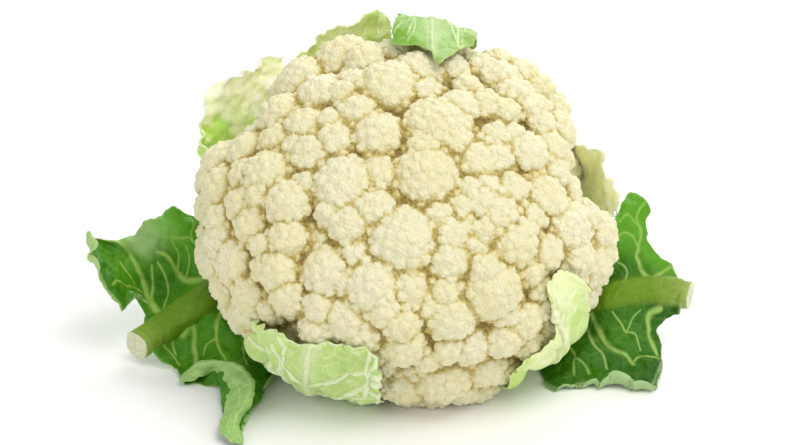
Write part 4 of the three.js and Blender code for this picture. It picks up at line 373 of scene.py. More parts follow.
def mesh_object(name, verts_mm, faces, attrs=None, material=None, normals=False):
    """faces: (n,4) or (n,3) int arrays, or a list of such arrays."""
    if not isinstance(faces, list):
        faces = [faces]
    me = bpy.data.meshes.new(name)
    V = np.ascontiguousarray(verts_mm * MM, dtype=np.float32)
    me.vertices.add(len(V))
    me.vertices.foreach_set("co", V.ravel())
    loops = np.concatenate([f.ravel() for f in faces]).astype(np.int32)
    sizes = np.concatenate([np.full(len(f), f.shape[1], np.int32) for f in faces])
    me.loops.add(len(loops))
    me.loops.foreach_set("vertex_index", loops)
    me.polygons.add(len(sizes))
    starts = np.concatenate([[0], np.cumsum(sizes)[:-1]]).astype(np.int32)
    me.polygons.foreach_set("loop_start", starts)
    me.polygons.foreach_set("loop_total", sizes)
    me.update(calc_edges=True)
    me.validate(clean_customdata=False)
    me.polygons.foreach_set("use_smooth", np.ones(len(me.polygons), bool))
    for key, val in (attrs or {}).items():
        if len(me.vertices) == len(val):
            at = me.attributes.new(key, 'FLOAT', 'POINT')
            at.data.foreach_set("value", np.ascontiguousarray(val, dtype=np.float32))
    ob = bpy.data.objects.new(name, me)
    bpy.context.scene.collection.objects.link(ob)
    if material:
        me.materials.append(material)
    return ob


# ----------------------------------------------------------------- materials


class Tree:
    def __init__(self, name):
        self.mat = bpy.data.materials.new(name)
        self.mat.use_nodes = True
        self.nt = self.mat.node_tree
        self.bsdf = self.nt.nodes["Principled BSDF"]

    def node(self, kind, **props):
        n = self.nt.nodes.new(kind)
        for k, v in props.items():
            setattr(n, k, v)
        return n

    def link(self, a, b):
        self.nt.links.new(a, b)

    def put(self, socket, value):
        if hasattr(value, "is_output"):
            self.link(value, socket)
        else:
            socket.default_value = value

    def attr(self, name):
        return self.node("ShaderNodeAttribute", attribute_name=name).outputs["Fac"]

    def math(self, op, a, b=0.0, clamp=False):
        n = self.node("ShaderNodeMath", operation=op, use_clamp=clamp)
        self.put(n.inputs[0], a)
        self.put(n.inputs[1], b)
        return n.outputs[0]

    def ramp(self, fac, stops):
        """stops: (position, value) pairs -> float through a map range per span."""
        n = self.node("ShaderNodeValToRGB")
        el = n.color_ramp.elements
        while len(el) < len(stops):
            el.new(0.5)
        for e, (p, c) in zip(el, stops):
            e.position = p
            e.color = c if len(c) == 4 else (*c, 1)
        self.put(n.inputs[0], fac)
        return n.outputs[0]

    def mix(self, fac, a, b, blend="MIX"):
        n = self.node("ShaderNodeMix", data_type='RGBA', blend_type=blend)
        n.clamp_factor = True
        self.put(n.inputs[0], fac)
        for s, v in ((n.inputs[6], a), (n.inputs[7], b)):
            if isinstance(v, tuple):
                v = (*v, 1) if len(v) == 3 else v
            self.put(s, v)
        return n.outputs[2]

    def span(self, value, a, b, c=0.0, d=1.0):
        n = self.node("ShaderNodeMapRange")
        n.clamp = True
        self.put(n.inputs[0], value)
        for i, x in zip((1, 2, 3, 4), (a, b, c, d)):
            n.inputs[i].default_value = x
        return n.outputs[0]

    def coords(self):
        return self.node("ShaderNodeTexCoord").outputs["Object"]

    def noise(self, scale, detail=3.0, rough=0.55, out="Fac", distortion=0.0):
        n = self.node("ShaderNodeTexNoise")
        self.link(self.coords(), n.inputs["Vector"])
        n.inputs["Scale"].default_value = scale
        n.inputs["Detail"].default_value = detail
        n.inputs["Roughness"].default_value = rough
        n.inputs["Distortion"].default_value = distortion
        return n.outputs[out]

    def voronoi(self, scale, feature='F1', out="Distance", smoothness=None, vector=None):
        n = self.node("ShaderNodeTexVoronoi", feature=feature)
        self.link(vector if vector is not None else self.coords(), n.inputs["Vector"])
        n.inputs["Scale"].default_value = scale
        if smoothness is not None:
            n.inputs["Smoothness"].default_value = smoothness
        return n.outputs[out]

    def bump(self, height, strength, distance, normal=None):
        n = self.node("ShaderNodeBump")
        n.inputs["Strength"].default_value = strength
        n.inputs["Distance"].default_value = distance
        self.put(n.inputs["Height"], height)
        if normal is not None:
            self.link(normal, n.inputs["Normal"])
        return n.outputs[0]

    def finish(self, color, rough, normal=None, **flat):
        self.put(self.bsdf.inputs["Base Color"], color)
        self.put(self.bsdf.inputs["Roughness"], rough)
        if normal is not None:
            self.link(normal, self.bsdf.inputs["Normal"])
        for k, v in flat.items():
            self.bsdf.inputs[k.replace("_", " ")].default_value = v
        return self.mat


def curd_material():
    t = Tree("curd_flesh")
    cav, fine, under = t.attr("crevice_shade"), t.attr("grain_and_gap_shade"), t.attr("under")
    patch = t.noise(30, 3)
    tint = t.noise(190, 2)
    cream = t.mix(t.span(patch, 0.35, 0.68), (0.83, 0.785, 0.55), (0.80, 0.74, 0.43))
    cream = t.mix(t.span(tint, 0.35, 0.75, 0, 0.4), cream, (0.865, 0.84, 0.66))
    # painted shade: this mask darkens the cream in the gaps between the grains
    col = t.mix(t.span(fine, 0.25, 1.0, 0.0, 0.62), cream, (0.66, 0.61, 0.29))
    # painted shade: this mask darkens the cream to yellow and then dark brown in the crevices between florets
    col = t.mix(t.span(cav, 0.22, 0.66, 0.0, 0.85), col, (0.60, 0.46, 0.11))
    col = t.mix(t.span(cav, 0.55, 0.98, 0.0, 0.95), col, (0.25, 0.155, 0.022))
    branch = t.mix(t.noise(55, 4), (0.74, 0.78, 0.50), (0.60, 0.68, 0.33))
    col = t.mix(under, col, branch)
    specks = t.voronoi(1250, 'SMOOTH_F1', smoothness=0.3)
    pores = t.noise(1500, 2, 0.6)
    col = t.mix(t.span(specks, 0.35, 0.75, 0.0, 0.30), col, (0.62, 0.58, 0.30))
    n1 = t.bump(t.span(specks, 0.0, 0.8, 1.0, 0.0), 0.55, 0.00035)
    n2 = t.bump(pores, 0.18, 0.0002, n1)
    rough = t.span(tint, 0.2, 0.8, 0.58, 0.78)
    return t.finish(col, rough, n2, Subsurface_Weight=0.12, Subsurface_Radius=(0.9, 0.8, 0.4),
                    Subsurface_Scale=0.0016, Specular_IOR_Level=0.30)


def leaf_material(name, blade, blade2, vein, under, under_vein, rib, rib_end, tip, sss, rough, net=0.55, lush_and_lit_color=(0.36, 0.60, 0.10), spec=0.30):
    t = Tree(name)
    v, side, ribm, cut = t.attr("vein"), t.attr("side"), t.attr("rib"), t.attr("cut")
    edge, pale, run, lush_and_lit = t.attr("edge"), t.attr("pale"), t.attr("run"), t.attr("lush_and_lit")
    big = t.noise(32, 3, 0.6)
    small = t.noise(260, 3, 0.6)
    base = t.mix(t.span(big, 0.35, 0.68), blade, blade2)
    base = t.mix(t.span(small, 0.3, 0.75, 0.0, 0.30), base, tuple(c * 0.62 for c in blade))
    base = t.mix(pale, base, tip)
    # fine net of veinlets
    warp = t.node("ShaderNodeVectorMath", operation='ADD')
    t.link(t.coords(), warp.inputs[0])
    wn = t.node("ShaderNodeVectorMath", operation='SCALE')
    t.link(t.noise(120, 2, 0.5, out="Color"), wn.inputs[0])
    wn.inputs["Scale"].default_value = 0.004
    t.link(wn.outputs[0], warp.inputs[1])
    cells = t.voronoi(150, 'DISTANCE_TO_EDGE', vector=warp.outputs[0])
    cells2 = t.voronoi(420, 'DISTANCE_TO_EDGE', vector=warp.outputs[0])
    netline = t.span(cells, 0.0, 0.045, 1.0, 0.0)
    netline2 = t.span(cells2, 0.0, 0.09, 1.0, 0.0)
    col = t.mix(t.math('MULTIPLY', netline, net), base, vein)
    col = t.mix(t.math('MULTIPLY', netline2, net * 0.32), col, vein)
    col = t.mix(t.span(v, 0.05, 0.9, 0.0, 0.92), col, vein)
    low = t.mix(t.span(big, 0.3, 0.7), under, tuple(min(1, c * 1.15) for c in under))
    low = t.mix(t.math('MULTIPLY', netline, 0.6), low, under_vein)
    low = t.mix(t.span(v, 0.05, 0.9, 0.0, 0.95), low, under_vein)
    col = t.mix(side, col, low)
    # green patches of the leaves' own colour; on the right outer leaf this mask also brightens the upper part, painted
    # light
    col = t.mix(t.math('MULTIPLY', lush_and_lit, 0.9), col, lush_and_lit_color)
    col = t.mix(t.math('MULTIPLY', t.math('MULTIPLY', lush_and_lit, v), 0.6), col, vein)
    ribc = t.mix(t.span(run, 0.72, 1.05), rib, rib_end)
    fibres = t.noise(500, 2, 0.5)
    ribc = t.mix(t.span(fibres, 0.35, 0.7, 0, 0.3), ribc, tuple(c * 0.75 for c in rib))
    col = t.mix(ribm, col, ribc)
    col = t.mix(t.span(edge, 0.35, 1.0, 0.0, 0.5), col, under_vein)
    grain_and_gap_shade = t.voronoi(900, 'F1')
    flesh = t.mix(t.span(grain_and_gap_shade, 0.1, 0.6), (0.86, 0.85, 0.68), (0.66, 0.68, 0.42))
    col = t.mix(cut, col, flesh)
    blister = t.span(cells, 0.0, 0.25)
    n1 = t.bump(blister, 0.32, 0.0009)
    n2 = t.bump(t.span(cells2, 0.0, 0.3), 0.16, 0.0005, n1)
    n3 = t.bump(t.math('MULTIPLY', grain_and_gap_shade, cut), 0.6, 0.0007, n2)
    n4 = t.bump(small, 0.10, 0.0004, n3)
    r = t.mix(cut, t.span(small, 0.2, 0.8, rough - 0.07, rough + 0.09), 0.8) if False else t.span(small, 0.2, 0.8, rough - 0.07, rough + 0.09)
    return t.finish(col, r, n4, Subsurface_Weight=sss, Subsurface_Radius=(0.7, 0.85, 0.40),
                    Subsurface_Scale=0.0040, Specular_IOR_Level=spec)


MAT_CURD = curd_material()
MAT_OUTER = leaf_material("outer_leaf", (0.030, 0.165, 0.003), (0.098, 0.345, 0.006), (0.36, 0.56, 0.10),
                          (0.28, 0.48, 0.14), (0.50, 0.66, 0.28), (0.135, 0.275, 0.010), (0.30, 0.42, 0.07),
                          (0.34, 0.52, 0.20), 0.04, 0.46, net=0.17, spec=0.22, lush_and_lit_color=(0.12, 0.39, 0.010))
# darker copy of the outer leaf colours for the right outer leaf: painted shade
MAT_OUTER_SHADED = leaf_material("outer_leaf_right_painted_shade", (0.014, 0.095, 0.001), (0.055, 0.215, 0.004), (0.34, 0.52, 0.12),
                            (0.26, 0.42, 0.17), (0.46, 0.60, 0.30), (0.155, 0.285, 0.012), (0.36, 0.46, 0.12),
                            (0.34, 0.50, 0.20), 0.03, 0.46, net=0.15, spec=0.20, lush_and_lit_color=(0.12, 0.37, 0.012))
MAT_INNER = leaf_material("inner_leaf", (0.74, 0.83, 0.40), (0.87, 0.90, 0.60), (0.90, 0.93, 0.72),
                          (0.76, 0.85, 0.44), (0.88, 0.91, 0.70), (0.82, 0.87, 0.56), (0.86, 0.88, 0.64),
                          (0.84, 0.80, 0.18), 0.45, 0.44, net=0.18, lush_and_lit_color=(0.45, 0.70, 0.13), spec=0.24)
MAT_FRONT = leaf_material("front_inner_leaf", (0.44, 0.64, 0.15), (0.68, 0.79, 0.36), (0.80, 0.88, 0.56),
                          (0.50, 0.68, 0.22), (0.80, 0.88, 0.56), (0.70, 0.80, 0.40), (0.80, 0.86, 0.56),
                          (0.36, 0.52, 0.03), 0.40, 0.38, net=0.22, lush_and_lit_color=(0.30, 0.52, 0.05), spec=0.30)
MAT_TIP = leaf_material("green_inner_leaf", (0.24, 0.35, 0.065), (0.34, 0.44, 0.115), (0.52, 0.66, 0.30),
                        (0.28, 0.44, 0.105), (0.52, 0.66, 0.30), (0.42, 0.56, 0.20), (0.56, 0.68, 0.34),
                        (0.46, 0.56, 0.05), 0.20, 0.46, net=0.20, lush_and_lit_color=(0.18, 0.40, 0.025), spec=0.26)
# paler and brighter than the inner leaf colours: partly the back leaves' own pale colour, partly painted light standing
# in for light shining through leaves that sit in shade
MAT_BACK_BRIGHTENED = leaf_material("pale_back_leaf_painted_light", (0.90, 0.94, 0.66), (0.95, 0.96, 0.80), (0.95, 0.96, 0.84),
                         (0.92, 0.95, 0.68), (0.95, 0.96, 0.84), (0.92, 0.94, 0.74), (0.92, 0.93, 0.76),
                         (0.93, 0.92, 0.40), 0.92, 0.44, net=0.14, lush_and_lit_color=(0.50, 0.74, 0.16), spec=0.24)
MAT_LOWER = leaf_material("lower_inner_leaf", (0.74, 0.84, 0.40), (0.85, 0.89, 0.50), (0.87, 0.90, 0.56),
                          (0.76, 0.85, 0.42), (0.87, 0.90, 0.56), (0.80, 0.87, 0.48), (0.84, 0.88, 0.54),
                          (0.84, 0.82, 0.20), 0.16, 0.50, net=0.18, lush_and_lit_color=(0.45, 0.70, 0.13), spec=0.18)
MAT_STUB = leaf_material("leaf_base", (0.50, 0.66, 0.28), (0.62, 0.74, 0.38), (0.74, 0.80, 0.52),
                         (0.54, 0.68, 0.33), (0.74, 0.80, 0.52), (0.56, 0.68, 0.32), (0.66, 0.74, 0.42),
                         (0.6, 0.66, 0.3), 0.2, 0.5, net=0.12)

# ---------------------------------------------------------------------- curd


class Field:
    """Signed distance (mm) on a regular grid around the curd."""

    def __init__(self, lo, hi, vs):
        self.lo, self.vs = np.array(lo, float), vs
        self.n = np.ceil((np.array(hi) - self.lo) / vs).astype(int) + 1
        self.g = np.full(self.n, 3.0, np.float32)
        self.ax = [self.lo[i] + vs * np.arange(self.n[i]) for i in range(3)]

    def stamp(self, C, R):
        for c, r in zip(C, R):
            pad = r + 1.4
            a = np.maximum(0, np.floor((c - pad - self.lo) / self.vs)).astype(int)
            b = np.minimum(self.n, np.ceil((c + pad - self.lo) / self.vs).astype(int) + 1)
            if (b <= a).any():
                continue
            x = (self.ax[0][a[0]:b[0]] - c[0])[:, None, None]
            y = (self.ax[1][a[1]:b[1]] - c[1])[None, :, None]
            z = (self.ax[2][a[2]:b[2]] - c[2])[None, None, :]
            d = np.sqrt(x * x + y * y + z * z) - r
            s = self.g[a[0]:b[0], a[1]:b[1], a[2]:b[2]]
            np.minimum(s, d, out=s)

    def rod(self, p, q, rp, rq):
        n = max(2, int(np.linalg.norm(q - p) / 1.6))
        t = np.linspace(0, 1, n)[:, None]
        self.stamp(p + (q - p) * t, (rp + (rq - rp) * t[:, 0]))

    def at(self, P):
        q = (P - self.lo) / self.vs
        i = np.clip(np.floor(q).astype(int), 0, self.n - 2)
        f = np.clip(q - i, 0, 1)
        out = np.zeros(len(P))
        for dx in (0, 1):
            for dy in (0, 1):
                for dz in (0, 1):
                    w = (np.where(dx, f[:, 0], 1 - f[:, 0]) * np.where(dy, f[:, 1], 1 - f[:, 1])
                         * np.where(dz, f[:, 2], 1 - f[:, 2]))
                    out += w * self.g[i[:, 0] + dx, i[:, 1] + dy, i[:, 2] + dz]
        return out


def fib(n, rng):
    k = np.arange(n) + 0.5
    z = 1 - 2 * k / n
    a = k * 2.399963 + rng.uniform(0, 6.28)
    s = np.sqrt(np.maximum(0, 1 - z * z))
    return np.stack([s * np.cos(a), s * np.sin(a), z], 1)


def turn_to(d, rng):
    """Random rotation matrix."""
    q = rng.normal(size=4)
    q /= np.linalg.norm(q)
    w, x, y, z = q
    return np.array([[1 - 2 * (y * y + z * z), 2 * (x * y - z * w), 2 * (x * z + y * w)],
                     [2 * (x * y + z * w), 1 - 2 * (x * x + z * z), 2 * (y * z - x * w)],
                     [2 * (x * z - y * w), 2 * (y * z + x * w), 1 - 2 * (x * x + y * y)]])


def blur(a, sigma):
    """Box-blur cascade along each axis; sigma in cells."""
    r = max(1, int(round(math.sqrt(4 * sigma * sigma + 1) / 2)))
    k = 2 * r + 1
    for axis in range(3):
        for _ in range(2):
            pad = [(0, 0)] * 3
            pad[axis] = (r + 1, r)
            c = np.cumsum(np.pad(a, pad, mode='edge'), axis=axis, dtype=np.float64)
            hi = [slice(None)] * 3
            lo = [slice(None)] * 3
            hi[axis] = slice(k, None)
            lo[axis] = slice(0, -k)
            a = ((c[tuple(hi)] - c[tuple(lo)]) / k).astype(np.float32)
    return a


def spread(points, gap, rng):
    """Indices of points no closer than gap to each other, in random order."""
    kd = mathutils.kdtree.KDTree(len(points))
    for i, p in enumerate(points):
        kd.insert(p, i)
    kd.balance()
    free = np.ones(len(points), bool)
    kept = []
    for i in rng.permutation(len(points)):
        if free[i]:
            kept.append(i)
            for _, j, _ in kd.find_range(points[i], gap):
                free[j] = False
    return np.array(kept)


def level_set(F):
    grid = openvdb.FloatGrid(3.0)
    grid.copyFromArray(F.g)
    pts, tris, quads = grid.convertToPolygons(isovalue=0.0, adaptivity=0.0)
    return np.asarray(pts, float) * F.vs + F.lo, np.asarray(quads).astype(np.int64)


def point_normals(P, faces):
    tri = np.concatenate([faces[:, [0, 1, 2]], faces[:, [0, 2, 3]]])
    fn = np.cross(P[tri[:, 1]] - P[tri[:, 0]], P[tri[:, 2]] - P[tri[:, 0]])
    N = np.zeros_like(P)
    for k in range(3):
        for ax in range(3):
            N[:, ax] += np.bincount(tri[:, k], fn[:, ax], len(P))
    return N / np.maximum(np.linalg.norm(N, axis=1, keepdims=True), 1e-9)


def outward(F, P, faces):
    """Faces wound so that their normals leave the flesh."""
    f = faces[::max(1, len(faces) // 2000)]
    a = P[f[:, 0]]
    n = np.cross(P[f[:, 1]] - a, P[f[:, 2]] - a)
    n /= np.maximum(np.linalg.norm(n, axis=1, keepdims=True), 1e-9)
    return faces if np.median(F.at(a + n * 0.8) - F.at(a)) > 0 else faces[:, ::-1]


def from_florets(P):
    d = np.full(len(P), 1e9)
    for s in range(0, len(P), 40000):
        D = np.linalg.norm(P[s:s + 40000, None] - DOME_W[None], axis=2) - DOME_R[None]
        d[s:s + 40000] = D.min(1)
    return d


def build_curd():
    rng = np.random.default_rng(11)
    vs = 0.52
    lo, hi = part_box("curd")
    lo = np.array(lo) / MM - 4
    hi = np.array(hi) / MM + 4
    F = Field(lo, hi, vs)
    # flesh under the florets
    X = F.ax[0][:, None, None].astype(np.float32)
    Y = F.ax[1][None, :, None].astype(np.float32)
    Z = F.ax[2][None, None, :].astype(np.float32)
    lx = (X - OFFSET[0] + 0 * Y + 0 * Z).astype(np.float32)
    dy, dz = Y - OFFSET[1], Z - OFFSET[2]
    ly = (dy * CT + dz * ST + 0 * X).astype(np.float32)
    lz = (-dy * ST + dz * CT + 0 * X).astype(np.float32)
    inset = 9.0
    c = np.where(lz > 0, 58 - inset, 43.0).astype(np.float32)
    q = (np.sqrt((lx / (90 - inset)) ** 2 + (ly / (90 * OVAL - inset)) ** 2) ** 2.3 + np.abs(lz / c) ** 2.3)
    q = q ** np.float32(1 / 2.3)
    far = np.sqrt(lx * lx + ly * ly + lz * lz) + 1e-3
    for hx, hy, hz, depth, width in HOLLOWS:
        away = np.arccos(np.clip((lx * hx + ly * hy + lz * hz) / far, -1, 1)) / width
        q /= (1 - depth * np.exp(-away * away))
    core = (q - 1) * 48
    rho = np.sqrt(lx ** 2 + (ly / OVAL) ** 2)
    draw = (rho - (26 + 1.35 * np.clip(lz + 45, 0, 60))) * 0.6
    core = np.maximum(core, np.where(lz < -8, draw, -3))
    np.minimum(F.g, np.clip(core, -3, 3).astype(np.float32), out=F.g)
    del core, q, rho, draw, far
    F.stamp(DOME_W, DOME_R)
    for c0, r0 in zip(FLORET_W, FLORET_R):
        F.rod(c0, OFFSET + (c0 - OFFSET) * 0.86, 0.78 * r0, 0.5 * r0)
    # branches on the underside
    tips = []
    for i in np.argsort(FLORETS[:, 2]):
        x, y, z, r = FLORETS[i]
        rr = math.hypot(x, y / OVAL)
        if rr > 55 and z < 22 and len(tips) < 60:
            if all((x - a) ** 2 + (y - b) ** 2 > 13 ** 2 for a, b in tips):
                tips.append((x, y))
                a = math.atan2(y / OVAL, x)
                p0 = place([13 * math.cos(a), 13 * OVAL * math.sin(a), -40])
                p1 = place([34 * math.cos(a), 34 * OVAL * math.sin(a), -38.5])
                p2 = place([0.62 * x + 0.19 * rr * math.cos(a), 0.62 * y + 0.19 * rr * OVAL * math.sin(a), min(z, 4) - 20])
                p3 = place([0.93 * x, 0.93 * y, z - 3])
                F.rod(p0, p1, 6.0, 5.4)
                F.rod(p1, p2, 5.4, 4.8)
                F.rod(p2, p3, 4.8, 4.6)
    # fill the narrow clefts between neighbouring florets
    sig = 2.5
    occ = np.clip(0.5 - F.g / (2 * vs), 0, 1)
    fill = (FILL - blur(occ, sig / vs)) * np.float32(2.507 * sig)
    np.minimum(F.g, fill, out=F.g, where=lz > -22)
    del fill, occ
    P, quads = level_set(F)
    quads = outward(F, P, quads)
    N = point_normals(P, quads)
    step = 2
    near = (from_florets(P[::step]) < 3.2) | (unplace(P[::step])[:, 2] > -8)
    idx = np.arange(0, len(P), step)[near]
    idx = idx[P[idx, 2] > 0.8]
    # second order: knobs
    kept = idx[spread(P[idx], 3.9, rng)]
    R2 = rng.uniform(2.1, 3.2, len(kept))
    C2 = P[kept] - N[kept] * (R2 * rng.uniform(0.50, 0.72, len(kept)))[:, None]
    F.stamp(C2, R2)
    # third order: grains
    P, quads = level_set(F)
    quads = outward(F, P, quads)
    N = point_normals(P, quads)
    near = np.ones(len(P), bool)
    low = unplace(P)[:, 2] < -8
    near[low] = from_florets(P[low]) < 3.6
    idx = np.where(near & (P[:, 2] > 0.5))[0]
    kept = idx[spread(P[idx], 1.42, rng)]
    R3 = rng.uniform(0.78, 1.12, len(kept)) * 1
    C3 = P[kept] - N[kept] * (R3 * 0.45)[:, None]
    F.stamp(C3, R3)
    print("curd: florets", len(FLORET_R), "knobs", len(R2), "grains", len(R3))
    # press flat on the floor, stop above the stalk
    g = F.g
    np.maximum(g, 0.02 - Z, out=g)
    np.maximum(g, -45.1 - lz, out=g, where=lz < -40)
    F.g = g
    half = np.clip(0.5 - F.g / vs, 0, 1).astype(np.float32)
    # fine: blurred occupancy at grain scale, high in the gaps between grains; the mask for the painted grain-gap shade
    fine = blur(half, 1.0 / vs)
    # wide: blurred occupancy at floret scale, high in the crevices between florets; the mask for the painted crevice
    # shade
    wide = blur(half[::2, ::2, ::2], 3.4 / (2 * vs))
    P, quads = level_set(F)
    faces = outward(F, P, quads)
    N = point_normals(P, faces)
    G = Field.__new__(Field)
    G.lo, G.vs, G.n = F.lo, F.vs, F.n
    G.g = fine
    gr = G.at(P)
    G.lo, G.vs, G.n, G.g = F.lo, F.vs * 2, np.array(wide.shape), wide
    cav = G.at(P)
    print("cavity percentiles", np.percentile(cav, [5, 25, 50, 75, 90, 95, 99]).round(3), "grain_and_gap_shade", np.percentile(gr, [5, 25, 50, 75, 95]).round(3))
    a0, a1 = np.percentile(cav, [45, 97])
    cav = np.clip((cav - a0) / (a1 - a0), 0, 1)
    a0, a1 = np.percentile(gr, [25, 98])
    gr = np.clip((gr - a0) / (a1 - a0), 0, 1)
    L = unplace(P)
    d1 = from_florets(P)
    under = smooth(2.4, 4.5, d1) * smooth(6, -12, L[:, 2])
    fc = L[faces].mean(1)
    az = np.degrees(np.arctan2(fc[:, 1], fc[:, 0])) % 360
    order = np.argsort(az)
    k = max(1, int(math.ceil(2 * len(faces) / 150000)))
    parts = np.array_split(order, k)
    for i, idx in enumerate(parts):
        f = faces[idx]
        used, inv = np.unique(f, return_inverse=True)
        f = inv.reshape(f.shape)
        ob = mesh_object("curd_%d" % (i + 1), P[used], f, {"crevice_shade": cav[used], "grain_and_gap_shade": gr[used], "under": under[used]}, MAT_CURD)
        if len(ob.data.vertices) == len(used):
            ob.data.normals_split_custom_set_from_vertices(N[used].astype(np.float32))
        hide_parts("curd")
        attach(ob, "root")
    print("curd faces", len(faces), "pieces", len(parts), "box", P.min(0), P.max(0))


# -------------------------------------------------------------------- leaves


def grid_faces(nu, nv, off=0, flip=False):
    i = np.arange(nu - 1)[:, None] * nv + np.arange(nv - 1)[None]
    f = np.stack([i, i + nv, i + nv + 1, i + 1], -1).reshape(-1, 4) + off
    return f[:, ::-1] if flip else f


def tube(stations, w, h, side, up, n, power=2.4):
    a = np.linspace(0, 2 * np.pi, n, endpoint=False)
    cx = np.sign(np.cos(a)) * np.abs(np.cos(a)) ** (2 / power)
    cy = np.sign(np.sin(a)) * np.abs(np.sin(a)) ** (2 / power)
    return stations[:, None] + side[:, None] * (w[:, None] * cx[None])[..., None] + up[:, None] * (h[:, None] * cy[None])[..., None]


def leaf(name, net, mat, nu, nv, mid=0.5, up=(0, -1, 0), blade=0.95, rib=(4.5, 1.2), reach=7.0,
         gap=1.9, seed=1, jag=1.2, jag_hi=1.0, oblique=None, ruffle=1.0, ruffle_len=9.0, pucker=0.5, veins=(), roll=None, heavy=None,
         pale=None, lush_and_lit=None, top_rib=0.3, side_veins=6, yellow=0.0):
    G = place(np.array(NETS[net]))
    u = np.linspace(0, 1, nu)
    v = np.linspace(0, 1, nv)
    # columns evenly spaced; the margin-weighted spacing below is switched off
    v = 0.5 - 0.5 * np.cos(np.pi * v) * (0.35 + 0.65 * np.abs(np.cos(np.pi * v)) ** 0.6) if False else v
    P = surface(G, u, v)
    jm = int(round(mid * (nv - 1)))
    U, V = np.meshgrid(u, v, indexing='ij')
    up = np.array(up, float)
    N = normals_of(P)
    if (N[nu // 2, jm] @ up) < 0:
        N = -N
    # arc length from the margins
    dl = np.linalg.norm(np.diff(P, axis=1), axis=2)
    s_lo = np.concatenate([np.zeros((nu, 1)), np.cumsum(dl, 1)], 1)
    s_hi = s_lo[:, -1:] - s_lo
    du = np.linalg.norm(np.diff(P, axis=0), axis=2)
    s_end = np.concatenate([np.cumsum(du[::-1], 0)[::-1], np.zeros((1, nv))], 0)
    grow = smooth(0.12, 0.4, U)
    near_lo, near_hi, near_end = np.exp(-s_lo / 3.0), np.exp(-s_hi / 3.0), np.exp(-s_end / 3.0)
    # uneven, finely toothed margins
    def tooth(sd):
        return (0.55 * waves(P, 16, seed + sd) + 0.45 * waves(P, 6.5, seed + sd + 1) + 0.30 * waves(P, 3.0, seed + sd + 2))
    out_lo = P[:, :1] - P[:, 1:2]
    out_lo = out_lo / np.maximum(np.linalg.norm(out_lo, axis=2, keepdims=True), 1e-6)
    out_hi = P[:, -1:] - P[:, -2:-1]
    out_hi = out_hi / np.maximum(np.linalg.norm(out_hi, axis=2, keepdims=True), 1e-6)
    out_end = P[-1:] - P[-2:-1]
    out_end = out_end / np.maximum(np.linalg.norm(out_end, axis=2, keepdims=True), 1e-6)
    T1 = np.broadcast_to(tooth(0)[:, :1], (nu, nv))
    T2 = np.broadcast_to(tooth(10)[:, -1:], (nu, nv))
    T3 = np.broadcast_to(tooth(20)[-1:], (nu, nv))
    P = P + out_lo * (jag * grow * near_lo * T1)[..., None]
    P = P + out_hi * (jag * jag_hi * grow * near_hi * T2)[..., None]
    P = P + out_end * (jag * near_end * T3)[..., None]
    # veins
    mids = [([[float(a), float(mid)] for a in np.linspace(0.0, 1.0, 12)], 1.7, 0.5)] if not heavy else []
    lines = list(veins)
    if side_veins:
        rng = np.random.default_rng(seed)
        for k in range(side_veins):
            a = 0.16 + 0.62 * k / side_veins + rng.uniform(-0.03, 0.03)
            for sgn in (-1, 1):
                span = (mid if sgn < 0 else 1 - mid)
                pts = [[a, mid]]
                for m in range(1, 6):
                    t = m / 5
                    pts.append([min(0.99, a + 0.34 * t ** 0.8 * (1 - 0.35 * a) + rng.uniform(-0.012, 0.012)), mid + sgn * span * 0.96 * t])
                lines.append((pts, 0.85, 0.5))
                # forks
                m = rng.integers(2, 4)
                p = pts[m]
                lines.append(([p, [min(0.99, p[0] + 0.13), p[1] + sgn * 0.02], [min(0.99, p[0] + 0.24), p[1] + sgn * 0.09]], 0.45, 0.2))
    vein = np.zeros((nu, nv))
    relief = np.zeros((nu, nv))
    flat = P.reshape(-1, 3)
    for pts, w0, w1 in mids + lines:
        w0, w1 = max(w0, 0.55), max(w1, 0.50)
        q = np.array(pts, float)
        fine_t = np.linspace(0, len(q) - 1, 8 * (len(q) - 1) + 1)
        q = catmull(q, fine_t)
        line = np.stack([surface(G, np.array([min(1, max(0, a))]), np.array([min(1, max(0, b))]))[0, 0] for a, b in q])
        d, w = segment_distance(flat, line, w0, w1)
        d = d.reshape(nu, nv)
        w = w.reshape(nu, nv)
        vein = np.maximum(vein, np.exp(-(d / (w * 0.95)) ** 2.4))
        relief = np.maximum(relief, w * np.sqrt(np.maximum(0, 1 - (d / (1.6 * w)) ** 2)))
    drib = np.linalg.norm(P - P[:, jm:jm + 1], axis=2)
    ribw = np.exp(-(drib / reach) ** 2)
    # waves along the margins, puckers between the veins
    margin = np.maximum(np.maximum(np.exp(-s_lo / ruffle_len), np.exp(-s_hi / ruffle_len)), np.exp(-s_end / ruffle_len))
    wave = waves(P, 15, seed + 40) * 0.75 + waves(P, 8, seed + 41) * 0.35
    P = P + N * (ruffle * grow * margin * wave)[..., None]
    P = P + N * (pucker * grow * (1 - ribw) * (waves(P, 11, seed + 50) * 0.7 + waves(P, 5.5, seed + 51) * 0.4) - 0.35 * pucker * vein * grow)[..., None]
    t = blade + np.maximum(0, (rib[0] + (rib[1] - rib[0]) * U) - blade) * ribw
    t = t * (0.62 + 0.38 * smooth(0, 2.2, np.minimum(np.minimum(s_lo, s_hi), s_end + (1 - grow) * 9)))
    P = off_florets(P, t * 0.5 + gap * smooth(0.0, 0.3, U) + 0.5, t * 0.5 + 0.12)
    # soften what the florets pushed
    for _ in range(3):
        Q = P.copy()
        Q[1:-1, 1:-1] = 0.5 * P[1:-1, 1:-1] + 0.125 * (P[2:, 1:-1] + P[:-2, 1:-1] + P[1:-1, 2:] + P[1:-1, :-2])
        P = Q
    # rolled margins: strips that continue past the net and curl over
    edge = np.maximum(np.maximum(np.exp(-s_lo / 0.9), np.exp(-s_hi / 0.9)), np.exp(-s_end / 0.9)) * grow
    tint = np.zeros((nu, nv))
    if pale is not None:
        tint = pale(U, V, P)
    green = np.zeros((nu, nv)) if lush_and_lit is None else lush_and_lit(U, V, P)
    run = U.copy()
    extra = 0
    if roll:
        for which, amount, radius in roll:
            m = 14
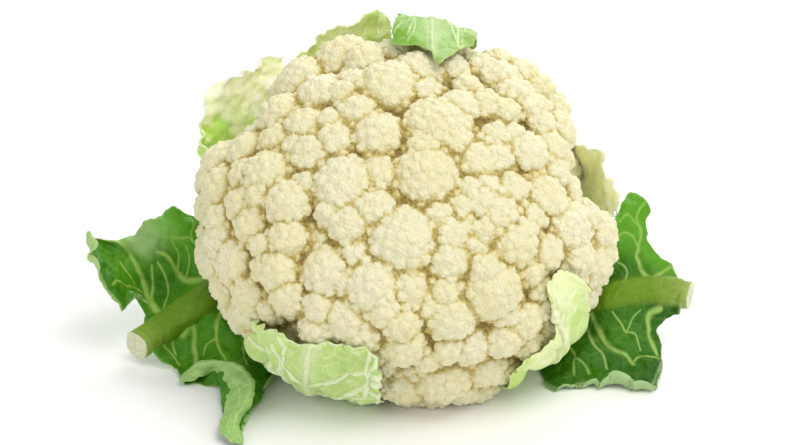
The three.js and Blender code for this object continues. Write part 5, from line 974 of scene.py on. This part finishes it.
            # amount(u) = length of the strip in mm
            if which == 'hi':
                E, E1, n0 = P[:, -1], P[:, -2], normals_of(P)[:, -1]
            else:
                E, E1, n0 = P[:, 0], P[:, 1], normals_of(P)[:, 0]
            if (normals_of(P)[nu // 2, jm] @ up) < 0:
                n0 = -n0
            o = E - E1
            o /= np.maximum(np.linalg.norm(o, axis=1, keepdims=True), 1e-6)
            Ls = np.maximum(0.15, np.array([amount(x) for x in u]))
            strip = []
            for k in range(1, m + 1):
                s = Ls * k / m
                th = s / radius
                strip.append(E + o * (radius * np.sin(th))[:, None] + n0 * (radius * (1 - np.cos(th)))[:, None])
            strip = np.stack(strip, 1)
            strip += N[:, :1] * 0
            strip += (waves(strip, 9, seed + 60) * 0.35 * (Ls / Ls.max())[:, None])[..., None] * n0[:, None]
            strip[..., 2] = np.maximum(strip[..., 2], 0.6)
            ext = lambda A, mode: np.concatenate([A, np.repeat(A[:, -1:], m, 1)], 1) if mode == 'hi' else np.concatenate([np.repeat(A[:, :1], m, 1), A], 1)
            P = np.concatenate([P, strip], 1) if which == 'hi' else np.concatenate([strip[:, ::-1], P], 1)
            t, vein, relief, ribw, edge, tint, green, run, grow, drib = [ext(A, which) for A in (t, vein, relief, ribw, edge, tint, green, run, grow, drib)]
            fade = np.linspace(1, 0.25, m)[None]
            if which == 'hi':
                vein[:, -m:] *= fade
                edge[:, :-m] *= (1 - np.exp(-0 * fade[0, 0])) if False else 1
            else:
                vein[:, :m] *= fade[:, ::-1]
                jm += m
            nv += m
    N = normals_of(P)
    if (N[nu // 2, jm] @ up) < 0:
        N = -N
    top_h = 0.28 * t + relief * 0.10 + top_rib * ribw
    bot_h = 0.72 * t + relief * 0.55
    A = P + N * top_h[..., None]
    B = P - N * bot_h[..., None]
    A[..., 2] = np.maximum(A[..., 2], 0.10)
    B[..., 2] = np.maximum(B[..., 2], 0.02)
    verts = np.concatenate([A.reshape(-1, 3), B.reshape(-1, 3)])
    same = (np.cross(P[1, 0] - P[0, 0], P[0, 1] - P[0, 0]) @ N[0, 0]) > 0
    fA = grid_faces(nu, nv, 0, not same)
    fB = grid_faces(nu, nv, nu * nv, same)
    ring = np.concatenate([np.arange(nv), np.arange(1, nu) * nv + nv - 1, (nu - 1) * nv + np.arange(nv - 2, -1, -1), np.arange(nu - 2, 0, -1) * nv])
    nxt = np.roll(ring, -1)
    fR = np.stack([ring, nxt, nxt + nu * nv, ring + nu * nv], 1)
    if not same:
        fR = fR[:, ::-1]
    side = np.concatenate([np.zeros(nu * nv), np.ones(nu * nv)])
    dbl = lambda x: np.concatenate([x.ravel(), x.ravel()])
    cut = dbl(smooth(0.012, 0.0, np.repeat(u[:, None], nv, 1)) * 0.9)
    cut[:nu * nv] *= 1
    ribmask = smooth(0.45, 0.8, ribw) if heavy else smooth(0.55, 0.95, ribw) * 0.6
    attrs = {"vein": dbl(vein), "side": side, "rib": dbl(ribmask), "cut": cut, "edge": dbl(edge), "pale": dbl(tint), "lush_and_lit": dbl(green), "run": dbl(run)}
    faces = [fA, fB, fR]
    if heavy:
        # midrib: a fleshy oval bar fused into the blade, ending in a cut face
        w0, w1, h0, h1, beyond, sink = heavy
        ns = 110
        na = 56
        tt = np.linspace(0, nu - 1, ns)
        C = catmull(P[:, jm], tt)
        Nn = catmull(N[:, jm], tt)
        ahead = np.gradient(C, axis=0)
        ahead /= np.linalg.norm(ahead, axis=1, keepdims=True)
        k = 12
        tail = np.linspace(0, 1, k + 1)[1:, None]
        C = np.concatenate([C, C[-1] + ahead[-1] * beyond * tail])
        Nn = np.concatenate([Nn, np.repeat(Nn[-1:], k, 0)])
        ahead = np.concatenate([ahead, np.repeat(ahead[-1:], k, 0)])
        Nn /= np.linalg.norm(Nn, axis=1, keepdims=True)
        sd = np.cross(ahead, Nn)
        sd /= np.linalg.norm(sd, axis=1, keepdims=True)
        f = np.linspace(0, 1, len(C))
        w = w0 + (w1 - w0) * f
        h = h0 + (h1 - h0) * f
        C = C - Nn * (h * sink)[:, None]
        C[:, 2] = np.maximum(C[:, 2], h + 0.2)
        T = tube(C, w, h, sd, Nn, na)
        T = T + (waves(T, 14, seed + 70) * 0.35 + waves(T, 5, seed + 71) * 0.14)[..., None] * (T - C[:, None]) / np.maximum(np.linalg.norm(T - C[:, None], axis=2, keepdims=True), 1e-6)
        if oblique is not None:
            n = ahead[-1] * oblique[0] + np.array(oblique[1:])
            n /= np.linalg.norm(n)
            back = ((T - C[-1]) @ n) / (ahead[-1] @ n)
            room = np.linalg.norm(C - C[-1], axis=1)[:, None]
            # every ring slides so that the last lies in the knife's plane
            edge_at = ((T[-1] - C[-1]) @ n) / (ahead[-1] @ n)
            share = np.exp(-(room / 7.0) ** 2)
            T = T - ahead[-1] * (edge_at[None] * share)[..., None]
        T = off_florets(T, 0.9, 0.15)
        nb = len(C)
        o = len(verts)
        verts = np.concatenate([verts, T.reshape(-1, 3)])
        i = np.arange(nb - 1)[:, None] * na + np.arange(na)[None]
        j = np.arange(nb - 1)[:, None] * na + (np.arange(na)[None] + 1) % na
        ft = np.stack([i, j, j + na, i + na], -1).reshape(-1, 4) + o
        # cut faces in rings
        caps = []
        for end, ringi in (("far", nb - 1), ("near", 0)):
            prev = o + ringi * na + np.arange(na)
            c = T[ringi].mean(0)
            dirn = ahead[ringi] * (1 if end == "far" else -1)
            if oblique is not None and end == "far":
                dirn = n
            for q in (0.93, 0.8, 0.62, 0.42, 0.2):
                R = c + (T[ringi] - c) * q
                R = R + dirn * (0.55 * (1 - q) + 0.12 * waves(R, 2.2, seed + 80) + (0.35 if q < 0.95 else 0))[:, None] if False else R + dirn * (0.5 * math.sqrt(1 - q * q) + 0.22 * waves(R, 2.4, seed + 80))[:, None]
                base_i = len(verts)
                verts = np.concatenate([verts, R])
                cur = base_i + np.arange(na)
                caps.append(np.stack([prev, np.roll(prev, -1), np.roll(cur, -1), cur], 1) if end == "far" else np.stack([np.roll(prev, -1), prev, cur, np.roll(cur, -1)], 1))
                prev = cur
            base_i = len(verts)
            verts = np.concatenate([verts, (c + dirn * 0.5)[None]])
            fan = np.stack([prev, np.roll(prev, -1), np.full(na, base_i)], 1)
            caps.append(fan if end == "far" else fan[:, ::-1])
        n_new = len(verts) - o
        n_tube = nb * na
        z0 = np.zeros(n_new)
        sideT = np.zeros(n_new)
        rad = (T - C[:, None])
        down = smooth(0.0, -0.6, np.einsum('ijk,ik->ij', rad, Nn) / np.maximum(np.linalg.norm(rad, axis=2), 1e-6))
        sideT[:n_tube] = down.ravel() * 0.5
        cutT = np.ones(n_new)
        cutT[:n_tube] = 0
        endv = np.repeat(smooth(nb - 1.6, nb - 0.9, np.arange(nb))[:, None], na, 1)
        cutT[:n_tube] = endv.ravel()
        runT = np.ones(n_new)
        runT[:n_tube] = np.repeat(f[:, None], na, 1).ravel()
        for key, val in (("vein", z0), ("side", sideT), ("rib", np.ones(n_new)), ("cut", cutT), ("edge", z0), ("pale", z0), ("lush_and_lit", z0), ("run", runT)):
            attrs[key] = np.concatenate([attrs[key], val])
        # orient
        probe = ft[len(ft) // 2]
        nn = np.cross(verts[probe[1]] - verts[probe[0]], verts[probe[2]] - verts[probe[0]])
        cm = C[(nb - 1) // 2]
        if nn @ (verts[probe[0]] - cm) < 0:
            ft = ft[:, ::-1]
            caps = [x[:, ::-1] for x in caps]
        faces = faces + [ft] + caps
    quads = np.concatenate([f for f in faces if f.shape[1] == 4])
    tris = [f for f in faces if f.shape[1] == 3]
    allf = [quads] + ([np.concatenate(tris)] if tris else [])
    ob = mesh_object(name + "_skin", verts, allf, attrs, mat)
    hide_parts(name)
    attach(ob, "root")
    return ob


def bump_at(x, c, w, h):
    return h * math.exp(-((x - c) / w) ** 2)


# -------------------------------------------------------------------- build

build_curd()

leaf("leaf_outer_left", "outerLeft", MAT_OUTER, 260, 230, mid=0.4, up=(0, -0.3, 1), blade=0.9,
     rib=(3.5, 2.0), reach=8.5, gap=2.2, seed=3, jag=1.0, jag_hi=0.25, ruffle=1.3, pucker=0.75, veins=VEINS["outerLeft"], side_veins=0,
     heavy=(7.8, 6.0, 4.6, 5.8, 4.0, 0.06), top_rib=1.3, oblique=(0.9, -0.1, -0.62, 0.30),
     pale=lambda U, V, P: 0.75 * smooth(0.40, 0.48, U) * smooth(0.72, 0.60, U) * smooth(0.20, 0.08, V),
     lush_and_lit=lambda U, V, P: 0.7 * smooth(0.34, 0.16, V) * smooth(0.56, 0.46, U),
     roll=[('lo', lambda u: bump_at(u, 0.86, 0.085, 6.5), 3.0)])
# the right outer leaf gets the darker copy of the outer leaf colours: painted shade
leaf("leaf_outer_right", "outerRight", MAT_OUTER_SHADED, 240, 200, mid=0.5, up=(0, -0.8, 0.6), blade=0.9,
     rib=(3.5, 2.0), reach=8.5, gap=2.0, seed=9, jag=1.1, ruffle=1.2, pucker=0.75, veins=VEINS["outerRight"], side_veins=0,
     heavy=(7.6, 6.0, 4.6, 4.6, 3.5, 0.40), top_rib=1.2, oblique=(0.9, 0.0, -0.35, 0.15),
     # brighter green on the upper part of this leaf: painted light
     lush_and_lit=lambda U, V, P: 0.8 * smooth(0.36, 0.18, V),
     roll=[('hi', lambda u: bump_at(u, 0.50, 0.18, 8.5), 3.6)])
near_curd = lambda U, V, P: np.clip(smooth(0.84, 0.62, U) * (0.62 + 0.5 * waves(P, 22, 5)), 0, 1)
patches = lambda s, k: (lambda U, V, P: np.clip(0.30 + k * waves(P, 30, s), 0, 1))
leaf("leaf_inner_top_left", "topLeft", MAT_BACK_BRIGHTENED, 180, 170, up=(1, 0, 0.2), seed=21, gap=2.0, ruffle=3.0, ruffle_len=13, jag=2.0, pucker=1.5, pale=near_curd,
     lush_and_lit=lambda U, V, P: np.clip(smooth(-55, -78, P[..., 0]) * (0.9 + 0.5 * waves(P, 16, 8)) * smooth(105, 85, P[..., 2]), 0, 1))
leaf("leaf_inner_top", "top", MAT_INNER, 150, 140, up=(0, -1, 0), seed=31, gap=2.0, ruffle=2.0, jag=1.8, pucker=1.2,
     pale=lambda U, V, P: np.clip(smooth(0.90, 0.75, U) * (0.7 + 0.5 * waves(P, 22, 5)), 0, 1), lush_and_lit=patches(9, 0.35))
leaf("leaf_inner_top_folded", "topFolded", MAT_TIP, 200, 130, up=(0, -1, 0), seed=41, gap=2.0, ruffle=1.4, jag=1.3, rib=(2.4, 0.9), top_rib=0.1,
     lush_and_lit=lambda U, V, P: np.clip(smooth(18, 8, P[..., 0]) * 0.9, 0, 1))
leaf("leaf_inner_right", "right", MAT_BACK_BRIGHTENED, 170, 150, up=(-1, 0, 0.2), seed=51, gap=2.4, ruffle=2.4, ruffle_len=12, jag=2.4, pucker=1.2,
     pale=lambda U, V, P: 0.25 * np.clip(smooth(0.78, 0.58, U) * (0.62 + 0.5 * waves(P, 22, 5)), 0, 1))
leaf("leaf_inner_lower_right", "lowerRight", MAT_LOWER, 160, 150, up=(-1, 1, 1), seed=61, gap=2.0, ruffle=2.0, jag=1.9, pucker=1.2,
     pale=lambda U, V, P: 0.4 * smooth(0.5, 1.0, V), lush_and_lit=lambda U, V, P: np.clip(smooth(0.90, 0.55, U) * 0.7 + smooth(0.80, 1.0, V) * 0.8 + 0.2 * waves(P, 20, 4), 0, 1))
leaf("leaf_inner_lower_left", "lowerLeft", MAT_FRONT, 200, 200, up=(1, 1, 1), seed=71, gap=1.9, ruffle=2.4, ruffle_len=14, jag=1.2, pucker=1.6,
     pale=lambda U, V, P: np.clip(smooth(0.72, 0.98, U) * smooth(0.7, 0.2, V) + 0.30 * waves(P, 24, 7), 0, 1))

# the outer left leaf's front rim curls over: a strip that shows its pale underside
RIM = np.array([
    [[-90.3, -34.7, 2.0], [-90.2, -34.4, 2.5], [-90.1, -33.8, 2.9], [-90.0, -33.0, 3.0], [-90.0, -32.2, 2.4]],
    [[-85.3, -33.0, 3.0], [-85.8, -32.0, 4.1], [-86.4, -30.4, 4.9], [-86.9, -27.8, 5.0], [-86.9, -25.4, 3.3]],
    [[-79.3, -31.2, 4.0], [-79.7, -31.5, 6.1], [-80.2, -31.1, 8.0], [-80.5, -29.6, 9.0], [-80.5, -27.4, 7.4]],
    [[-74.9, -32.1, 5.5], [-73.9, -33.9, 8.4], [-72.8, -34.9, 11.1], [-72.0, -34.1, 12.5], [-72.0, -31.0, 10.1]],
    [[-72.2, -40.0, 6.0], [-69.4, -41.6, 9.1], [-66.4, -42.1, 11.9], [-63.9, -40.3, 13.0], [-63.9, -37.1, 10.6]],
    [[-70.0, -48.6, 6.0], [-66.2, -50.5, 8.9], [-62.1, -51.0, 11.3], [-58.8, -48.8, 12.0], [-58.8, -45.6, 9.6]],
    [[-69.1, -56.1, 5.5], [-65.2, -58.0, 8.1], [-61.0, -58.6, 10.1], [-57.5, -56.4, 10.5], [-57.5, -53.2, 8.1]],
    [[-69.0, -63.6, 5.0], [-65.7, -65.2, 6.9], [-62.2, -65.6, 8.4], [-59.3, -63.8, 8.5], [-59.3, -60.6, 6.1]],
    [[-70.2, -71.8, 4.5], [-67.4, -72.1, 5.8], [-64.5, -71.2, 6.7], [-62.0, -68.7, 6.5], [-62.0, -65.5, 4.1]],
    [[-70.6, -79.1, 4.0], [-68.0, -78.8, 5.0], [-65.2, -77.4, 5.5], [-63.0, -74.3, 5.0], [-63.0, -71.1, 2.6]],
    [[-65.3, -83.9, 3.0], [-64.0, -83.8, 3.4], [-62.5, -83.2, 3.5], [-61.3, -81.8, 3.2], [-61.3, -80.0, 1.8]],
    [[-61.6, -85.8, 2.0], [-61.3, -85.8, 2.1], [-61.0, -85.6, 2.2], [-60.7, -85.3, 2.2], [-60.7, -85.0, 1.9]],
])


def strip(name, G, node, slot, mat, nu, nv, thick, seed):
    u, v = np.linspace(0, 1, nu), np.linspace(0, 1, nv)
    P = surface(G, u, v)
    N = normals_of(P)
    U, V = np.meshgrid(u, v, indexing='ij')
    side = np.exp(-V * 8)
    o = P[:, :1] - P[:, 1:2]
    o /= np.maximum(np.linalg.norm(o, axis=2, keepdims=True), 1e-6)
    P = P + o * (side * (0.7 * waves(P[:, :1], 9, seed) + 0.35 * waves(P[:, :1], 3.5, seed + 1)))[..., None]
    P = P + N * (0.55 * waves(P, 9, seed + 2) + 0.22 * waves(P, 4.5, seed + 3))[..., None]
    P[..., 2] = np.maximum(P[..., 2], 0.75)
    N = normals_of(P)
    if N[nu // 2, nv // 2] @ np.array([0, -1, 0.5]) < 0:
        N = -N
    A, B = P + N * thick / 2, P - N * thick / 2
    B[..., 2] = np.maximum(B[..., 2], 0.05)
    verts = np.concatenate([A.reshape(-1, 3), B.reshape(-1, 3)])
    same = (np.cross(P[1, 0] - P[0, 0], P[0, 1] - P[0, 0]) @ N[0, 0]) > 0
    ring = np.concatenate([np.arange(nv), np.arange(1, nu) * nv + nv - 1, (nu - 1) * nv + np.arange(nv - 2, -1, -1), np.arange(nu - 2, 0, -1) * nv])
    nxt = np.roll(ring, -1)
    fR = np.stack([ring, nxt, nxt + nu * nv, ring + nu * nv], 1)
    faces = [grid_faces(nu, nv, 0, not same), grid_faces(nu, nv, nu * nv, same), fR if same else fR[:, ::-1]]
    n = nu * nv
    lines = np.zeros((nu, nv))
    for c, w in ((0.35, 0.02), (0.62, 0.03), (0.82, 0.018)):
        lines = np.maximum(lines, np.exp(-((V - c - 0.05 * np.sin(9 * U + 7 * c)) / w) ** 2))
    near = np.exp(-np.minimum(V, 1 - V) * nv / 5.0)
    attrs = {"vein": np.concatenate([lines.ravel() * 0.7] * 2), "side": np.concatenate([np.ones(n), np.zeros(n)]), "rib": np.zeros(2 * n),
             "cut": np.zeros(2 * n), "edge": np.concatenate([near.ravel()] * 2), "pale": np.zeros(2 * n), "lush_and_lit": np.zeros(2 * n), "run": np.concatenate([U.ravel()] * 2)}
    ob = mesh_object(name, verts, [np.concatenate(faces)], attrs, mat)
    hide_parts(node)
    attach(ob, "root")


strip("leaf_outer_left_rim", RIM, "leaf_outer_left", "leaf_outer", MAT_OUTER, 240, 36, 0.9, 201)


def cut_bar(name, node, mat, C, sd, upv, w, h, na, seed, lump=0.3, power=2.3):
    """Fleshy bar with granular cut faces; C, sd, upv are station arrays."""
    T = tube(C, w, h, sd, upv, na, power)
    rad = T - C[:, None]
    T = T + (waves(T, 13, seed) * lump + waves(T, 4.5, seed + 1) * lump * 0.4)[..., None] * rad / np.maximum(np.linalg.norm(rad, axis=2, keepdims=True), 1e-6)
    T[..., 2] = np.maximum(T[..., 2], 0.03)
    nb = len(C)
    verts = T.reshape(-1, 3)
    i = np.arange(nb - 1)[:, None] * na + np.arange(na)[None]
    j = np.arange(nb - 1)[:, None] * na + (np.arange(na)[None] + 1) % na
    faces = [np.stack([i, j, j + na, i + na], -1).reshape(-1, 4)]
    tri = []
    ah = np.gradient(C, axis=0)
    ah /= np.linalg.norm(ah, axis=1, keepdims=True)
    for ri, sg in ((nb - 1, 1), (0, -1)):
        prev = ri * na + np.arange(na)
        c = T[ri].mean(0)
        for q in (0.95, 0.86, 0.74, 0.6, 0.45, 0.3, 0.15):
            R = c + (T[ri] - c) * q
            R = R + ah[ri] * sg * (0.35 * math.sqrt(1 - q * q) + 0.16 * waves(R, 2.6, seed + 3))[:, None]
            R[:, 2] = np.maximum(R[:, 2], 0.03)
            b = len(verts)
            verts = np.concatenate([verts, R])
            cur = b + np.arange(na)
            qf = np.stack([prev, np.roll(prev, -1), np.roll(cur, -1), cur], 1)
            faces.append(qf if sg > 0 else qf[:, ::-1])
            prev = cur
        b = len(verts)
        verts = np.concatenate([verts, (c + ah[ri] * sg * 0.35)[None]])
        fan = np.stack([prev, np.roll(prev, -1), np.full(na, b)], 1)
        tri.append(fan if sg > 0 else fan[:, ::-1])
    nt = nb * na
    n = len(verts)
    z0 = np.zeros(n)
    cut = np.ones(n)
    ends = np.maximum(smooth(nb - 2.2, nb - 1.0, np.arange(nb)), 0)
    cut[:nt] = np.repeat(ends[:, None], na, 1).ravel()
    run = np.ones(n)
    run[:nt] = np.repeat(np.linspace(0, 1, nb)[:, None], na, 1).ravel()
    probe = faces[0][len(faces[0]) // 2]
    nn = np.cross(verts[probe[1]] - verts[probe[0]], verts[probe[2]] - verts[probe[0]])
    if nn @ (verts[probe[0]] - C[nb // 2]) < 0:
        faces = [f[:, ::-1] for f in faces]
        tri = [f[:, ::-1] for f in tri]
    attrs = {"vein": z0, "side": z0, "rib": np.ones(n), "cut": cut, "edge": z0, "pale": z0, "lush_and_lit": z0, "run": run}
    ob = mesh_object(name, verts, [np.concatenate(faces), np.concatenate(tri)], attrs, mat)
    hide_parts(node)
    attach(ob, "root")
    return ob


# stalk
zz = np.linspace(-45.6, -63.6, 40)
axis_pts = place(np.stack([0 * zz, 0 * zz, zz], 1))
sx = np.repeat(np.array([[1.0, 0, 0]]), len(zz), 0)
sy = np.repeat(HEAD[:, 1][None], len(zz), 0)
flare = 22.2 - 0.9 * smooth(-48, -56, zz) + 0.2 * smooth(-58, -61, zz) - 0.9 * smooth(-62.6, -63.6, zz)
cut_bar("stalk_flesh", "stalk", MAT_STUB, axis_pts, sx, sy, flare, flare * OVAL, 120, 101, lump=0.28, power=2.05)

# cut leaf bases at the back
for i, (az, wd, drop) in enumerate(((52, 10.5, 3), (96, 11, 2.5), (140, 10, 3.5))):
    a = math.radians(az)
    tt = np.linspace(0, 1, 44)
    rho = 24.3 + 27 * tt
    C = place(np.stack([rho * math.cos(a), OVAL * rho * math.sin(a), -57.3 + drop * tt ** 2], 1))
    ah = np.gradient(C, axis=0)
    ah /= np.linalg.norm(ah, axis=1, keepdims=True)
    upv = np.repeat(CROWN[None], len(tt), 0)
    sd = np.cross(ah, upv)
    sd /= np.linalg.norm(sd, axis=1, keepdims=True)
    w = wd * (0.78 + 0.34 * tt - 0.24 * tt * tt) - 0.2
    h = 3.0 - 0.3 * tt
    cut_bar("leaf_base_%d" % (i + 1), "leaf_stub_%d" % (i + 1), MAT_STUB, C, sd, upv, w, h, 64, 110 + 7 * i, lump=0.2)

# --------------------------------------------------------------------- stage
floor_me = bpy.data.meshes.new("floor")
s = 6.0
floor_me.from_pydata([(-s, -s, 0), (s, -s, 0), (s, s, 0), (-s, s, 0)], [], [(0, 1, 2, 3)])
floor = bpy.data.objects.new("floor", floor_me)
bpy.context.scene.collection.objects.link(floor)
ft = Tree("floor_paper")
floor_me.materials.append(ft.finish((0.97, 0.97, 0.97, 1), 0.45, None, Specular_IOR_Level=0.25))

world = bpy.data.worlds.new("studio")
bpy.context.scene.world = world
world.use_nodes = True
world.node_tree.nodes["Background"].inputs[0].default_value = (1, 1, 1, 1)
world.node_tree.nodes["Background"].inputs[1].default_value = 0.56


def area(name, loc, target, size, power, color=(1, 1, 1)):
    ld = bpy.data.lights.new(name, 'AREA')
    ld.shape = 'RECTANGLE'
    ld.size, ld.size_y = size
    ld.energy = power
    ld.color = color
    lo = bpy.data.objects.new(name, ld)
    bpy.context.scene.collection.objects.link(lo)
    lo.location = loc
    d = np.array(target) - np.array(loc)
    lo.rotation_euler = mathutils.Vector(d).to_track_quat('-Z', 'Y').to_euler()
    return lo


area("key", (0.42, -0.30, 1.15), (0, 0, 0.05), (0.9, 0.7), 7.0, (1.0, 0.99, 0.97))
area("fill_right", (0.95, -0.55, 0.55), (0, 0, 0.05), (0.8, 0.8), 1.9, (1.0, 1.0, 1.0))
area("fill", (-0.85, -0.8, 0.7), (0, 0, 0.06), (0.9, 0.9), 3.0)
area("back", (0.3, 1.1, 0.8), (0, 0, 0.06), (1.0, 0.7), 9.0)

cam_data = bpy.data.cameras.new("camera")
cam = bpy.data.objects.new("camera", cam_data)
bpy.context.scene.collection.objects.link(cam)
ELEV = math.radians(26.0)
DIST = 1.1
head_c = OFFSET * MM
cam.location = (head_c[0], head_c[1] - DIST * math.cos(ELEV), head_c[2] + DIST * math.sin(ELEV))
cam.rotation_euler = (math.pi / 2 - ELEV, 0, 0)
cam_data.sensor_width = 36.0
cam_data.lens = 36.0 * (1100.0 / (180.0 / 417.0)) / 800.0
cam_data.shift_x = -5.0 / 800.0
cam_data.shift_y = -1.5 / 800.0
cam_data.clip_start = 0.01
bpy.context.scene.camera = cam
bpy.context.scene.view_settings.view_transform = 'Standard'
bpy.context.scene.view_settings.look = 'None'
bpy.context.scene.view_settings.exposure = 0.0

bpy.context.view_layer.update()
